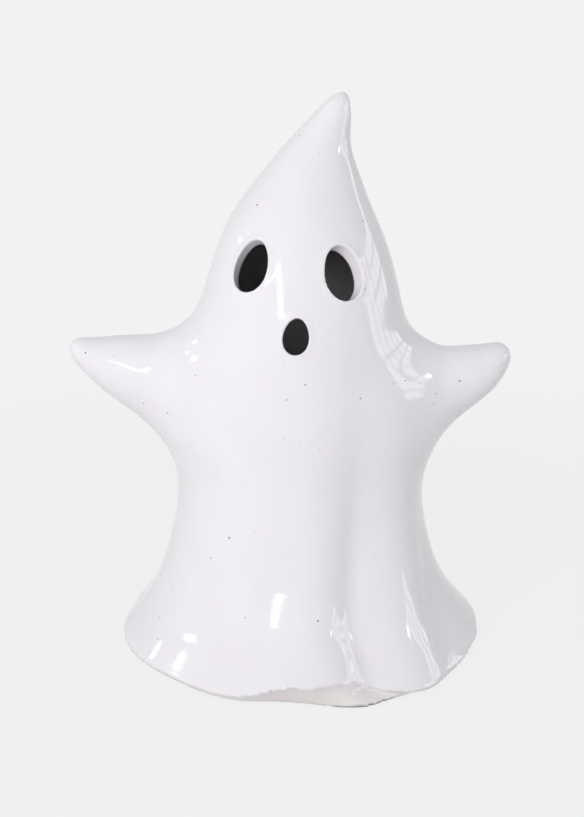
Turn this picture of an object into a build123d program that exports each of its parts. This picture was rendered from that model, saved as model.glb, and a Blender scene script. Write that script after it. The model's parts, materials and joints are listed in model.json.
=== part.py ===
from build123d import *
import math
import os
from typing import NamedTuple

# A hollow glazed ceramic ghost with raised arms and pierced eyes and mouth, standing on felt dots.
# A battery light plugs into the round opening of its foot from below.
# Millimetres, +Z up. The face looks along -Y. The sizes below are measured from the axis of the foot.
# The written pieces are moved sideways so that the origin is on the table midway between the arm tips.


class Girdle(NamedTuple):
    """One ring of the ceramic body, in shares of the body's main sizes, with its share of the waves."""

    level: float
    width: float
    depth: float
    right: float
    back: float
    waviness: float = 1.0


class ArmRing(NamedTuple):
    """One upright ring across an arm, in shares of the arm's reach, the body's height and the arm's root."""

    out: float
    level: float
    height: float
    depth: float


class Wave(NamedTuple):
    """One soft wave of the skirt: where its middle is, how far it spreads, and its share of the full size."""

    middle: float
    spread: float
    size: float


class Pierced(NamedTuple):
    """One egg-shaped hole in the face: its turn and share of the height, how it aims and how large it is."""

    turn: float
    level: float
    aim_turn: float
    aim_rise: float
    width: float
    length: float
    lean: float


# Felt dots under the foot
FELT_THICKNESS = 0.6
FELT_RADIUS = 6.0
FELT_COUNT = 4

# Main sizes of the ceramic: the height from the foot to the tip, the hem, the bend of the tip and the arms
BODY_HEIGHT = 228.9
HEM_WIDTH = 153.2
HEM_DEPTH = 151.2
TIP_RIGHT = 16.4
TIP_BACK = 5.0
LEFT_REACH = 94.4
RIGHT_REACH = 86.2
ARM_ROOT_HEIGHT = 58.0
ARM_ROOT_DEPTH = 54.0
FOLD_DEPTH = 6.6
LIFT_HEIGHT = 6.8
WALL = 5.0
FLOOR_THICKNESS = 5.0
HEM_SOLID = 10.0

# Girdles of the body, from the foot up
GIRDLES = [
    Girdle(level=0.0, width=0.953, depth=0.946, right=0.0, back=0.0, waviness=0.0),
    Girdle(level=0.007, width=0.975, depth=0.973, right=0.0, back=0.0, waviness=0.5),
    Girdle(level=0.017, width=1.0, depth=1.0, right=0.0, back=0.0),
    Girdle(level=0.03, width=0.978, depth=0.978, right=-0.01, back=0.0),
    Girdle(level=0.067, width=0.888, depth=0.886, right=-0.02, back=0.0),
    Girdle(level=0.119, width=0.795, depth=0.788, right=-0.04, back=0.0),
    Girdle(level=0.189, width=0.721, depth=0.706, right=-0.04, back=0.0),
    Girdle(level=0.285, width=0.666, depth=0.643, right=-0.02, back=0.0),
    Girdle(level=0.39, width=0.645, depth=0.616, right=-0.01, back=0.0),
    Girdle(level=0.495, width=0.616, depth=0.587, right=0.0, back=0.1),
    Girdle(level=0.6, width=0.559, depth=0.534, right=0.0, back=0.24),
    Girdle(level=0.705, width=0.478, depth=0.458, right=0.04, back=0.44),
    Girdle(level=0.762, width=0.416, depth=0.4, right=0.05, back=0.6),
    Girdle(level=0.814, width=0.338, depth=0.325, right=0.1, back=0.76),
    Girdle(level=0.869, width=0.242, depth=0.233, right=0.256, back=0.88),
    Girdle(level=0.912, width=0.17, depth=0.164, right=0.42, back=0.96),
    Girdle(level=0.959, width=0.103, depth=0.1, right=0.732, back=1.0),
    Girdle(level=0.989, width=0.052, depth=0.052, right=0.915, back=1.0),
]
LAST_HOLLOW_GIRDLE = 14
CAVITY_TIP_RISE = 5.0

# Folds of the front, by how far to the right they lie in shares of half the hem's width
FRONT_FOLDS = [
    Wave(middle=0.052, spread=0.104, size=0.18),
    Wave(middle=0.3, spread=0.118, size=-1.0),
    Wave(middle=0.568, spread=0.13, size=0.485),
    Wave(middle=0.731, spread=0.091, size=-0.21),
    Wave(middle=0.836, spread=0.157, size=0.21),
]
FRONT_FOLD_TOP = 0.66 * BODY_HEIGHT

# Sideways sweep of the front folds, to the right towards the hem and again towards the arms
LOW_SWEEP = 0.065
HIGH_SWEEP = 0.078
SWEEP_LEVELS = (0.017, 0.111, 0.478)
SWEEP_SIDE = (0.052, 0.287)

# Folds of the sides and back, lifts of the hem and waves of the front foot line, by degrees of turn
BACK_FOLDS = [
    Wave(middle=66.0, spread=11.0, size=-0.3),
    Wave(middle=118.0, spread=12.0, size=-0.545),
    Wave(middle=165.0, spread=12.0, size=-0.606),
    Wave(middle=215.0, spread=12.0, size=-0.485),
    Wave(middle=262.0, spread=12.0, size=-0.364),
    Wave(middle=316.0, spread=14.0, size=-0.212),
]
LIFTS = [
    Wave(middle=-4.0, spread=10.0, size=0.912),
    Wave(middle=11.0, spread=10.0, size=1.0),
    Wave(middle=118.0, spread=14.0, size=0.588),
    Wave(middle=215.0, spread=14.0, size=0.662),
]
FOOT_WAVES = [
    Wave(middle=-5.0, spread=13.0, size=-0.576),
    Wave(middle=18.0, spread=9.0, size=0.606),
    Wave(middle=44.0, spread=20.0, size=0.636),
]
FOLD_TOP = 0.59 * BODY_HEIGHT
FOLD_FADE = 1.6
LIFT_TOP = 0.175 * BODY_HEIGHT
RING_POINTS = 48

# Arms: rings from inside the body out to the tip
RIGHT_ARM = [
    ArmRing(out=0.348, level=0.46, height=0.948, depth=0.963),
    ArmRing(out=0.487, level=0.46, height=0.897, depth=0.852),
    ArmRing(out=0.58, level=0.465, height=0.786, depth=0.704),
    ArmRing(out=0.661, level=0.474, height=0.634, depth=0.578),
    ArmRing(out=0.766, level=0.49, height=0.503, depth=0.481),
    ArmRing(out=0.864, level=0.506, height=0.4, depth=0.407),
    ArmRing(out=0.94, level=0.522, height=0.297, depth=0.311),
    ArmRing(out=0.979, level=0.531, height=0.179, depth=0.193),
]
LEFT_ARM = [
    ArmRing(out=0.318, level=0.478, height=1.0, depth=1.0),
    ArmRing(out=0.445, level=0.478, height=0.931, depth=0.874),
    ArmRing(out=0.54, level=0.481, height=0.821, depth=0.719),
    ArmRing(out=0.62, level=0.488, height=0.697, depth=0.607),
    ArmRing(out=0.72, level=0.502, height=0.566, depth=0.519),
    ArmRing(out=0.826, level=0.517, height=0.428, depth=0.422),
    ArmRing(out=0.922, level=0.534, height=0.276, depth=0.296),
    ArmRing(out=0.981, level=0.546, height=0.152, depth=0.163),
]
ARM_TIP_RISE = 0.6
ARM_HOLLOW_RINGS = 6
ARM_HOLLOW_TIP = 3.0

# Face: turns are degrees to the right of straight ahead
LEFT_EYE = Pierced(
    turn=-35.0, level=0.725, aim_turn=-24.0, aim_rise=35.0, width=14.6, length=20.0, lean=9.0
)
RIGHT_EYE = Pierced(
    turn=26.5, level=0.716, aim_turn=52.0, aim_rise=31.0, width=14.2, length=21.2, lean=0.0
)
MOUTH = Pierced(
    turn=-2.8, level=0.616, aim_turn=-1.0, aim_rise=16.0, width=10.0, length=14.1, lean=6.0
)
EGG_TAPER = 0.12
EGG_POINTS = 16
PIERCE_OUTSIDE = 8.0
PIERCE_INSIDE = 15.0

# Foot of the ceramic
FOOT_RECESS_DEPTH = 4.5
FOOT_RECESS_RADIUS = 47.0
RECESS_WALL = 5.0
LIGHT_OPENING_RADIUS = 36.0

# Fits of the light
SEAT_GAP = 0.05
GRIP_CLEARANCE = 0.05
SLIDE_CLEARANCE = 0.15
PIN_CLEARANCE = 0.06
SCREW_CLEARANCE = 0.1

# Light case and its grip ring
FINGER_GAP = 4.0
FLANGE_THICKNESS = 2.4
GRIP_THICKNESS = 1.6
GRIP_GROOVE = 0.6
GRIP_RIB_HEIGHT = 1.0
CASE_WALL = 1.8
CASE_HEIGHT = 27.5
BEAD_HEIGHT = 1.2
BEAD_DEPTH = 0.9

# Battery bay, lying along X, open below
CELL_RADIUS = 5.25
CELL_LENGTH = 44.5
CELL_COUNT = 3
NUB_RADIUS = 1.9
NUB_LENGTH = 0.8
CELL_SPACE = 0.8
CELL_CLEARANCE = 0.3
SPRING_LENGTH = 4.0
SPRING_WIRE = 0.35
SPRING_RADIUS = 3.6
SPRING_TURNS = 3
CONTACT_THICKNESS = 0.5
CONTACT_SIDE = 9.0
TAB_WIDTH = 3.0
TAB_RISE = 1.8
TAB_CLEARANCE = 0.2
BAY_WALL = 1.6
ROOF_THICKNESS = 1.6

# Battery door and its snap hinge
DOOR_THICKNESS = 2.0
DOOR_LEDGE = 1.5
DOOR_GAP = 0.4
BARREL_RADIUS = 1.1
BARREL_LENGTH = 12.0
STUB_RADIUS = 0.7
STUB_LENGTH = 1.6
HINGE_OFFSET = 1.6
BARREL_GAP = 0.4
FINGER_NOTCH_RADIUS = 6.0
FINGER_NOTCH_DEPTH = 1.2

# Slide switch
SWITCH_LENGTH = 10.0
SWITCH_WIDTH = 5.6
SWITCH_HEIGHT = 4.0
SWITCH_GAP = 4.6
SWITCH_TRAVEL = 3.0
KNOB_HEAD_LENGTH = 3.4
KNOB_HEAD_WIDTH = 3.0
KNOB_HEAD_HEIGHT = 1.2
KNOB_STEM_LENGTH = 2.4
KNOB_STEM_WIDTH = 2.2
KNOB_PROUD = 0.5

# Circuit board and what it carries
BOARD_RADIUS = 22.0
BOARD_THICKNESS = 1.6
BOARD_RISE = 3.0
BOARD_BOSS_CIRCLE = 16.0
BOARD_BOSS_RADIUS = 2.6
BOARD_BOSS_ANGLES = (30.0, 150.0, 270.0)
LED_CIRCLE = 9.0
LED_ANGLES = (90.0, 210.0, 330.0)
LED_RADIUS = 2.5
LED_RIM = 0.45
LED_RIM_HEIGHT = 1.0
LED_BODY_HEIGHT = 6.2
LED_PROUD = 0.2
LEAD_RADIUS = 0.3
LEAD_SPACING = 2.54
LEAD_TAIL = 1.2
LEAD_HOLE_CLEARANCE = 0.15
CHIP_LENGTH = 5.0
CHIP_WIDTH = 4.0
CHIP_HEIGHT = 1.6
CHIP_CENTRE = -9.5
RESISTOR_RADIUS = 1.1
RESISTOR_LENGTH = 6.0
RESISTOR_X = -6.5
RESISTOR_Y = 14.5

# Lamp plate and diffuser
LAMP_PLATE_THICKNESS = 2.0
SPIGOT_WALL = 1.1
SPIGOT_HEIGHT = 3.0
PLATE_BOSS_GAP = 0.2
PLATE_BOSS_RADIUS = 3.0
PLATE_BOSS_ANGLES = (55.0, 125.0, 270.0)
LED_HOLE_CLEARANCE = 0.4
DOME_RADIUS = 18.0
DOME_HEIGHT = 20.0
DOME_WALL = 1.6
DOME_BRIM = 4.0
DOME_SEAT_DEPTH = 0.8

# Screws, by shank and head
BOARD_SHANK_RADIUS = 1.0
BOARD_HEAD_RADIUS = 2.0
BOARD_SCREW_LENGTH = 4.0
PLATE_SHANK_RADIUS = 1.2
PLATE_HEAD_RADIUS = 2.3
PLATE_SCREW_LENGTH = 9.0
HEAD_HEIGHT = 1.4
SLOT_WIDTH = 0.6
SLOT_DEPTH = 0.6
HOLE_SPARE = 1.0

# Insulated wires
WIRE_RADIUS = 0.7
WIRE_BEND = 2.0
WIRE_RISE = 3.2
WIRE_EDGE = 2.0
SWITCH_WIRE_SPACING = 4.4

# Heights that the pieces share
FOOT_Z = FELT_THICKNESS
SEAT_Z = FOOT_Z + FOOT_RECESS_DEPTH
FLANGE_Z = SEAT_Z - FLANGE_THICKNESS
CASE_TOP_Z = SEAT_Z + CASE_HEIGHT
DOOR_TOP_Z = FLANGE_Z + DOOR_THICKNESS
CELL_Z = DOOR_TOP_Z + CELL_CLEARANCE + CELL_RADIUS
ROOF_Z = CELL_Z + CELL_RADIUS + CELL_CLEARANCE
ROOF_TOP_Z = ROOF_Z + ROOF_THICKNESS
BOARD_Z = ROOF_TOP_Z + BOARD_RISE
BOARD_TOP_Z = BOARD_Z + BOARD_THICKNESS
PLATE_TOP_Z = CASE_TOP_Z + LAMP_PLATE_THICKNESS
LED_Z = CASE_TOP_Z + LED_PROUD - LED_BODY_HEIGHT
HINGE_Z = FLANGE_Z + BARREL_RADIUS + (FLANGE_THICKNESS - 2 * BARREL_RADIUS) / 2

# Sizes across the light
FLANGE_RADIUS = FOOT_RECESS_RADIUS - FINGER_GAP
GRIP_RADIUS = LIGHT_OPENING_RADIUS - GRIP_CLEARANCE
CASE_RADIUS = GRIP_RADIUS - GRIP_THICKNESS - SEAT_GAP
CASE_INNER = CASE_RADIUS - CASE_WALL
CELL_PITCH = 2 * CELL_RADIUS + CELL_SPACE
BAY_LENGTH = CELL_LENGTH + SPRING_LENGTH + 2 * CONTACT_THICKNESS + SEAT_GAP
BAY_WIDTH = CELL_COUNT * CELL_PITCH
DOOR_OPENING_LENGTH = BAY_LENGTH + 2 * DOOR_LEDGE
DOOR_OPENING_WIDTH = BAY_WIDTH + 2 * DOOR_LEDGE
HINGE_Y = -DOOR_OPENING_WIDTH / 2 - HINGE_OFFSET
SWITCH_CENTRE = BAY_WIDTH / 2 + BAY_WALL + SWITCH_GAP + SWITCH_WIDTH / 2
PLATE_BOSS_CIRCLE = CASE_INNER - SLIDE_CLEARANCE - SPIGOT_WALL - PLATE_BOSS_GAP - PLATE_BOSS_RADIUS
WIRE_CIRCLE = BOARD_RADIUS - WIRE_EDGE
FELT_CIRCLE = (FOOT_RECESS_RADIUS + GIRDLES[0].depth * HEM_DEPTH / 2) / 2

# Sideways move that puts the origin midway between the arm tips
ORIGIN_MOVE = (LEFT_REACH - RIGHT_REACH) / 2


STANDING = (Align.CENTER, Align.CENTER, Align.MIN)


def around(angle, radius):
    """Point at an angle in degrees from +X and a radius from the light's axis."""
    return (radius * math.cos(math.radians(angle)), radius * math.sin(math.radians(angle)))


def upright(radius, low, high, at=(0.0, 0.0)):
    """Round bar standing from one height to another."""
    return Pos(at[0], at[1], low) * Cylinder(radius, high - low, align=STANDING)


def block(length, width, low, high, at=(0.0, 0.0)):
    """Square block standing from one height to another."""
    return Pos(at[0], at[1], low) * Box(length, width, high - low, align=STANDING)


def waves(terms, place):
    """Sum of soft waves at a place, such as a turn in degrees round the body."""
    total = 0.0
    for term in terms:
        apart = (place - term.middle + 180.0) % 360.0 - 180.0
        total += term.size * math.exp(-((apart / term.spread) ** 2))
    return total


def ease(value, start, end):
    """Nothing up to the start, rising smoothly to one at the end."""
    share = min(max((value - start) / (end - start), 0.0), 1.0)
    return share * share * (3.0 - 2.0 * share)


def fade(height, top, power):
    """One at the foot, falling to nothing at the top height."""
    share = max(0.0, 1.0 - (height - FOOT_Z) / top)
    return share**power


def closed_curve(points):
    """Closed smooth curve with even knots, so that neighbouring rings match point for point."""
    count = len(points)
    knots = [step / count for step in range(count + 1)]
    return Wire([Edge.make_spline(points, periodic=True, parameters=knots)])


HEIGHTS = [FOOT_Z + girdle.level * BODY_HEIGHT for girdle in GIRDLES]
TOP_Z = FOOT_Z + BODY_HEIGHT


def front_fold(turn, height, girdle):
    """Share of the fold depth that the front folds have on one girdle."""
    angle = math.radians(turn)
    level = (height - FOOT_Z) / BODY_HEIGHT
    side = girdle.width * math.sin(angle)
    swept = LOW_SWEEP * (1.0 - ease(level, *SWEEP_LEVELS[:2])) + HIGH_SWEEP * ease(level, *SWEEP_LEVELS[1:])
    side -= swept * ease(side, *SWEEP_SIDE)
    facing = ease(math.cos(angle), 0.1, 0.5)
    return waves(FRONT_FOLDS, side) * facing * fade(height, FRONT_FOLD_TOP, 1.0)


def ring_point(turn, height, girdle, inward=0.0, lifted=1.0):
    """Point of the body's skin on one girdle, or that far inward, folds and hem lift included."""
    angle = math.radians(turn)
    fold = waves(BACK_FOLDS, turn) * fade(height, FOLD_TOP, FOLD_FADE)
    fold += girdle.waviness * front_fold(turn, height, girdle)
    fold += (1.0 - girdle.waviness) * waves(FOOT_WAVES, turn)
    grown = FOLD_DEPTH * fold - inward
    x = girdle.right * TIP_RIGHT + (girdle.width * HEM_WIDTH / 2 + grown) * math.sin(angle)
    y = girdle.back * TIP_BACK - (girdle.depth * HEM_DEPTH / 2 + grown) * math.cos(angle)
    lift = lifted * girdle.waviness * waves(LIFTS, turn) * fade(height, LIFT_TOP, 1.0)
    return (x, y, height + LIFT_HEIGHT * lift)


def ring_wire(height, girdle, inward=0.0, lifted=1.0):
    """Closed smooth ring of the body's skin, or of its hollow that far inward."""
    turns = [360.0 * step / RING_POINTS for step in range(RING_POINTS)]
    return closed_curve([ring_point(turn, height, girdle, inward, lifted) for turn in turns])


def body_skin():
    """Outside of the body, from the flat foot to the bent tip."""
    sections = [ring_wire(height, girdle) for height, girdle in zip(HEIGHTS, GIRDLES)]
    sections.append(Vertex(TIP_RIGHT, TIP_BACK, TOP_Z))
    return Solid.make_loft(sections)


def inset(index):
    """Level distance that leaves one wall thickness square to the skin at a girdle."""
    low = max(index - 1, 0)
    high = min(index + 1, len(GIRDLES) - 1)
    narrowing = (GIRDLES[high].width - GIRDLES[low].width) * HEM_WIDTH / 2
    slope = narrowing / (HEIGHTS[high] - HEIGHTS[low])
    return WALL * math.hypot(1.0, slope)


def body_cavity():
    """Hollow of the body, from the top of the floor to below the tip."""
    hem = max(GIRDLES, key=lambda girdle: girdle.width)
    floor_top = FOOT_Z + FLOOR_THICKNESS
    sections = [ring_wire(floor_top, hem, inward=HEM_SOLID, lifted=0.0)]
    start = next(index for index, height in enumerate(HEIGHTS) if height > floor_top + WALL)
    for index in range(start, LAST_HOLLOW_GIRDLE + 1):
        sections.append(ring_wire(HEIGHTS[index], GIRDLES[index], inward=inset(index), lifted=0.0))
    last = GIRDLES[LAST_HOLLOW_GIRDLE]
    top = HEIGHTS[LAST_HOLLOW_GIRDLE] + CAVITY_TIP_RISE
    sections.append(Vertex(last.right * TIP_RIGHT, last.back * TIP_BACK, top))
    return Solid.make_loft(sections)


def arm_loft(rings, reach, shrink=0.0):
    """Smooth arm through its rings to a point at its reach, or its hollow, shrunk by a wall."""
    sections = []
    for ring in rings:
        points = []
        for step in range(RING_POINTS // 2):
            angle = 4 * math.pi * step / RING_POINTS
            y = (ring.depth * ARM_ROOT_DEPTH / 2 - shrink) * math.sin(angle)
            z = (ring.height * ARM_ROOT_HEIGHT / 2 - shrink) * math.cos(angle)
            points.append((ring.out * reach, y, FOOT_Z + ring.level * BODY_HEIGHT + z))
        sections.append(closed_curve(points))
    tip = reach
    if shrink > 0.0:
        tip = rings[-1].out * reach + math.copysign(ARM_HOLLOW_TIP, reach)
    sections.append(Vertex(tip, 0.0, FOOT_Z + rings[-1].level * BODY_HEIGHT + ARM_TIP_RISE))
    return Solid.make_loft(sections)


def skin_at(turn, height):
    """Point of the skin at a turn and height, between the two nearest girdles."""
    high = next(index for index, level in enumerate(HEIGHTS) if level > height)
    low = high - 1
    share = (height - HEIGHTS[low]) / (HEIGHTS[high] - HEIGHTS[low])
    mixed = Girdle(*[a + (b - a) * share for a, b in zip(GIRDLES[low], GIRDLES[high])])
    return Vector(*ring_point(turn, height, mixed, lifted=0.0))


def pierce(hole):
    """Egg-shaped cutter through the wall of the face."""
    turn = math.radians(hole.aim_turn)
    rise = math.radians(hole.aim_rise)
    outward = Vector(math.sin(turn) * math.cos(rise), -math.cos(turn) * math.cos(rise), math.sin(rise))
    across = Vector(math.cos(turn), math.sin(turn), 0.0)
    height = FOOT_Z + hole.level * BODY_HEIGHT
    start = skin_at(hole.turn, height) + outward * PIERCE_OUTSIDE
    plane = Plane(origin=start, x_dir=across, z_dir=outward)
    points = []
    for step in range(EGG_POINTS):
        angle = 2 * math.pi * step / EGG_POINTS
        x = hole.width / 2 * math.sin(angle) * (1 - EGG_TAPER * math.cos(angle))
        y = hole.length / 2 * math.cos(angle)
        points.append((x, y, 0.0))
    outline = plane * Rot(Z=-hole.lean) * Face(closed_curve(points))
    return extrude(outline, amount=PIERCE_OUTSIDE + PIERCE_INSIDE, dir=-outward)


def ghost_shell():
    """One ceramic casting: body, arms, pierced face, floor and recessed foot."""
    outside = body_skin() + arm_loft(RIGHT_ARM, RIGHT_REACH) + arm_loft(LEFT_ARM, -LEFT_REACH)
    hollow = body_cavity() + arm_loft(RIGHT_ARM[:ARM_HOLLOW_RINGS], RIGHT_REACH, WALL)
    hollow += arm_loft(LEFT_ARM[:ARM_HOLLOW_RINGS], -LEFT_REACH, WALL)
    shell = outside - hollow
    shell += upright(FOOT_RECESS_RADIUS + RECESS_WALL, FOOT_Z, SEAT_Z + FLOOR_THICKNESS)
    shell -= upright(FOOT_RECESS_RADIUS, FOOT_Z, SEAT_Z)
    shell -= upright(LIGHT_OPENING_RADIUS, FOOT_Z, SEAT_Z + FLOOR_THICKNESS)
    for hole in (LEFT_EYE, RIGHT_EYE, MOUTH):
        shell -= pierce(hole)
    return shell


def felt_dots():
    """Felt dots glued under the foot."""
    dots = []
    for index in range(FELT_COUNT):
        angle = 360.0 * (index + 0.5) / FELT_COUNT
        dots.append(upright(FELT_RADIUS, 0.0, FELT_THICKNESS, around(angle, FELT_CIRCLE)))
    return Compound(dots)


def contact_end(row):
    """Side on which a cell's raised end lies: the cells lie head to tail."""
    return 1.0 if row % 2 == 0 else -1.0


def row_y(row):
    """Middle of one row of the battery bay."""
    return (row - (CELL_COUNT - 1) / 2) * CELL_PITCH


def tab_place(side, row):
    """Where a terminal's tab passes through the roof of the bay."""
    return (side * (BAY_LENGTH / 2 - CONTACT_THICKNESS / 2), row_y(row))


def light_case():
    """Moulded case with its flange, battery bay, door opening, bosses and switch slot."""
    case = upright(FLANGE_RADIUS, FLANGE_Z, SEAT_Z)
    barrel = upright(CASE_RADIUS, SEAT_Z, CASE_TOP_Z) - upright(CASE_INNER, SEAT_Z, CASE_TOP_Z)
    bead_z = SEAT_Z + FLOOR_THICKNESS + SEAT_GAP
    bead = upright(CASE_RADIUS + BEAD_DEPTH, bead_z, bead_z + BEAD_HEIGHT)
    barrel += bead - upright(CASE_RADIUS - CASE_WALL / 2, bead_z, bead_z + BEAD_HEIGHT)
    bay = block(BAY_LENGTH + 2 * BAY_WALL, BAY_WIDTH + 2 * BAY_WALL, FLANGE_Z, ROOF_TOP_Z)
    case += barrel + (bay & upright(CASE_RADIUS, FLANGE_Z, ROOF_TOP_Z))
    for angle in PLATE_BOSS_ANGLES:
        case += upright(PLATE_BOSS_RADIUS, SEAT_Z, CASE_TOP_Z, around(angle, PLATE_BOSS_CIRCLE))
    for angle in BOARD_BOSS_ANGLES:
        case += upright(BOARD_BOSS_RADIUS, ROOF_TOP_Z, BOARD_Z, around(angle, BOARD_BOSS_CIRCLE))
    case -= block(BAY_LENGTH, BAY_WIDTH, FLANGE_Z, ROOF_Z)
    case -= block(DOOR_OPENING_LENGTH, DOOR_OPENING_WIDTH, FLANGE_Z, DOOR_TOP_Z)
    for angle in PLATE_BOSS_ANGLES:
        low = PLATE_TOP_Z - PLATE_SCREW_LENGTH - HOLE_SPARE
        at = around(angle, PLATE_BOSS_CIRCLE)
        case -= upright(PLATE_SHANK_RADIUS + SCREW_CLEARANCE, low, CASE_TOP_Z, at)
    for angle in BOARD_BOSS_ANGLES:
        low = BOARD_TOP_Z - BOARD_SCREW_LENGTH
        at = around(angle, BOARD_BOSS_CIRCLE)
        case -= upright(BOARD_SHANK_RADIUS + SCREW_CLEARANCE, low, BOARD_Z, at)
    for side, row in ((-1.0, 0), (1.0, CELL_COUNT - 1)):
        slot = (CONTACT_THICKNESS + TAB_CLEARANCE, TAB_WIDTH + 2 * TAB_CLEARANCE)
        case -= block(*slot, ROOF_Z, ROOF_TOP_Z, tab_place(side, row))
    return case - hinge_pocket() - switch_slot() - finger_notch()


def hinge_pocket():
    """Room for the door's hinge barrel, with a socket for the stub at each end."""
    radius = BARREL_RADIUS + BARREL_GAP
    width = HINGE_OFFSET + radius
    length = BARREL_LENGTH + 2 * BARREL_GAP
    pocket = block(length, width, FLANGE_Z, SEAT_Z, (0.0, HINGE_Y - radius + width / 2))
    reach = BARREL_LENGTH + 2 * (STUB_LENGTH + PIN_CLEARANCE)
    socket = Pos(0.0, HINGE_Y, HINGE_Z) * Rot(Y=90) * Cylinder(STUB_RADIUS + PIN_CLEARANCE, reach)
    return pocket + socket


def switch_slot():
    """Slot in the flange that the switch knob slides along."""
    length = KNOB_STEM_LENGTH + SWITCH_TRAVEL + 2 * SLIDE_CLEARANCE
    return block(length, KNOB_STEM_WIDTH + 2 * SLIDE_CLEARANCE, FLANGE_Z, SEAT_Z, (0.0, SWITCH_CENTRE))


def finger_notch():
    """Hollow beside the door's free edge for a fingernail."""
    at = (-BAY_LENGTH / 4, DOOR_OPENING_WIDTH / 2)
    return upright(FINGER_NOTCH_RADIUS, FLANGE_Z, FLANGE_Z + FINGER_NOTCH_DEPTH, at)


def grip_ring():
    """Silicone sleeve with two ribs that hold the light in the ceramic opening."""
    high = SEAT_Z + FLOOR_THICKNESS
    ring = upright(GRIP_RADIUS - GRIP_GROOVE, SEAT_Z, high)
    ring += upright(GRIP_RADIUS, SEAT_Z + GRIP_RIB_HEIGHT, SEAT_Z + 2 * GRIP_RIB_HEIGHT)
    ring += upright(GRIP_RADIUS, high - 2 * GRIP_RIB_HEIGHT, high - GRIP_RIB_HEIGHT)
    return ring - upright(CASE_RADIUS + SEAT_GAP, SEAT_Z, high)


def battery_door():
    """Door with its hinge barrel, strap and snap stubs."""
    length = DOOR_OPENING_LENGTH - 2 * DOOR_GAP
    width = DOOR_OPENING_WIDTH - 2 * DOOR_GAP
    door = block(length, width, FLANGE_Z, DOOR_TOP_Z - SEAT_GAP)
    strap_width = HINGE_OFFSET + DOOR_GAP
    strap_at = (0.0, HINGE_Y + strap_width / 2)
    door += block(BARREL_LENGTH, strap_width, HINGE_Z - BARREL_RADIUS, DOOR_TOP_Z - SEAT_GAP, strap_at)
    axis = Pos(0.0, HINGE_Y, HINGE_Z) * Rot(Y=90)
    door += axis * Cylinder(BARREL_RADIUS, BARREL_LENGTH)
    door += axis * Cylinder(STUB_RADIUS, BARREL_LENGTH + 2 * STUB_LENGTH)
    return door


def cell_base(row):
    """X of a cell's flat end, against the free end of its spring."""
    return -contact_end(row) * (BAY_LENGTH / 2 - CONTACT_THICKNESS - SPRING_LENGTH)


def cell(row):
    """One round cell with its raised end."""
    toward = contact_end(row)
    barrel = CELL_LENGTH - NUB_LENGTH
    base = Pos(cell_base(row), row_y(row), CELL_Z) * Rot(Y=90 * toward)
    jacket = base * Cylinder(CELL_RADIUS, barrel, align=STANDING)
    return jacket + base * Cylinder(NUB_RADIUS, CELL_LENGTH, align=STANDING)


def contact_spring(row):
    """Coil spring pressed on a cell's flat end."""
    toward = contact_end(row)
    height = SPRING_LENGTH - 2 * SPRING_WIRE
    coil = Helix(height / SPRING_TURNS, height, SPRING_RADIUS)
    section = Plane(origin=coil @ 0, z_dir=coil % 0) * Circle(SPRING_WIRE)
    start = cell_base(row) - toward * (SPRING_LENGTH - SPRING_WIRE)
    return Pos(start, row_y(row), CELL_Z) * Rot(Y=90 * toward) * sweep(section, path=coil, is_frenet=True)


def contact_plate(side, rows, tab_row=None):
    """Flat contact at one end of the bay, with a solder tab where a wire joins it."""
    middle = sum(row_y(row) for row in rows) / len(rows)
    width = CONTACT_SIDE + (len(rows) - 1) * CELL_PITCH
    x = side * (BAY_LENGTH / 2 - CONTACT_THICKNESS / 2)
    plate = block(CONTACT_THICKNESS, width, CELL_Z - CONTACT_SIDE / 2, CELL_Z + CONTACT_SIDE / 2, (x, middle))
    if tab_row is not None:
        plate += block(CONTACT_THICKNESS, TAB_WIDTH, CELL_Z, ROOF_TOP_Z + TAB_RISE, tab_place(side, tab_row))
    return plate


def led_places():
    """Middle of each lamp on the board."""
    return [around(angle, LED_CIRCLE) for angle in LED_ANGLES]


def lead_places():
    """Places of the two leads of each lamp."""
    return [(x + side * LEAD_SPACING / 2, y) for x, y in led_places() for side in (-1.0, 1.0)]


def circuit_board():
    """Round board with screw holes and lead holes."""
    board = upright(BOARD_RADIUS, BOARD_Z, BOARD_TOP_Z)
    for angle in BOARD_BOSS_ANGLES:
        at = around(angle, BOARD_BOSS_CIRCLE)
        board -= upright(BOARD_SHANK_RADIUS + SCREW_CLEARANCE, BOARD_Z, BOARD_TOP_Z, at)
    for at in lead_places():
        board -= upright(LEAD_RADIUS + LEAD_HOLE_CLEARANCE, BOARD_Z, BOARD_TOP_Z, at)
    return board


def led_lenses():
    """Round-nosed lamp lenses with their rims."""
    lenses = []
    low = LED_Z
    for at in led_places():
        lens = upright(LED_RADIUS, low, low + LED_BODY_HEIGHT, at)
        lens += upright(LED_RADIUS + LED_RIM, low, low + LED_RIM_HEIGHT, at)
        lens += Pos(at[0], at[1], low + LED_BODY_HEIGHT) * Sphere(LED_RADIUS)
        lenses.append(lens)
    return Compound(lenses)


def led_leads():
    """Two leads for each lamp, through the board."""
    low = BOARD_Z - LEAD_TAIL
    return Compound([upright(LEAD_RADIUS, low, LED_Z, at) for at in lead_places()])


def timer_chip():
    """Small chip that times the light."""
    return block(CHIP_LENGTH, CHIP_WIDTH, BOARD_TOP_Z, BOARD_TOP_Z + CHIP_HEIGHT, (0.0, CHIP_CENTRE))


def resistor():
    """Resistor lying on the board."""
    body = Rot(Y=90) * Cylinder(RESISTOR_RADIUS, RESISTOR_LENGTH)
    return Pos(RESISTOR_X, RESISTOR_Y, BOARD_TOP_Z + RESISTOR_RADIUS) * body


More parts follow.
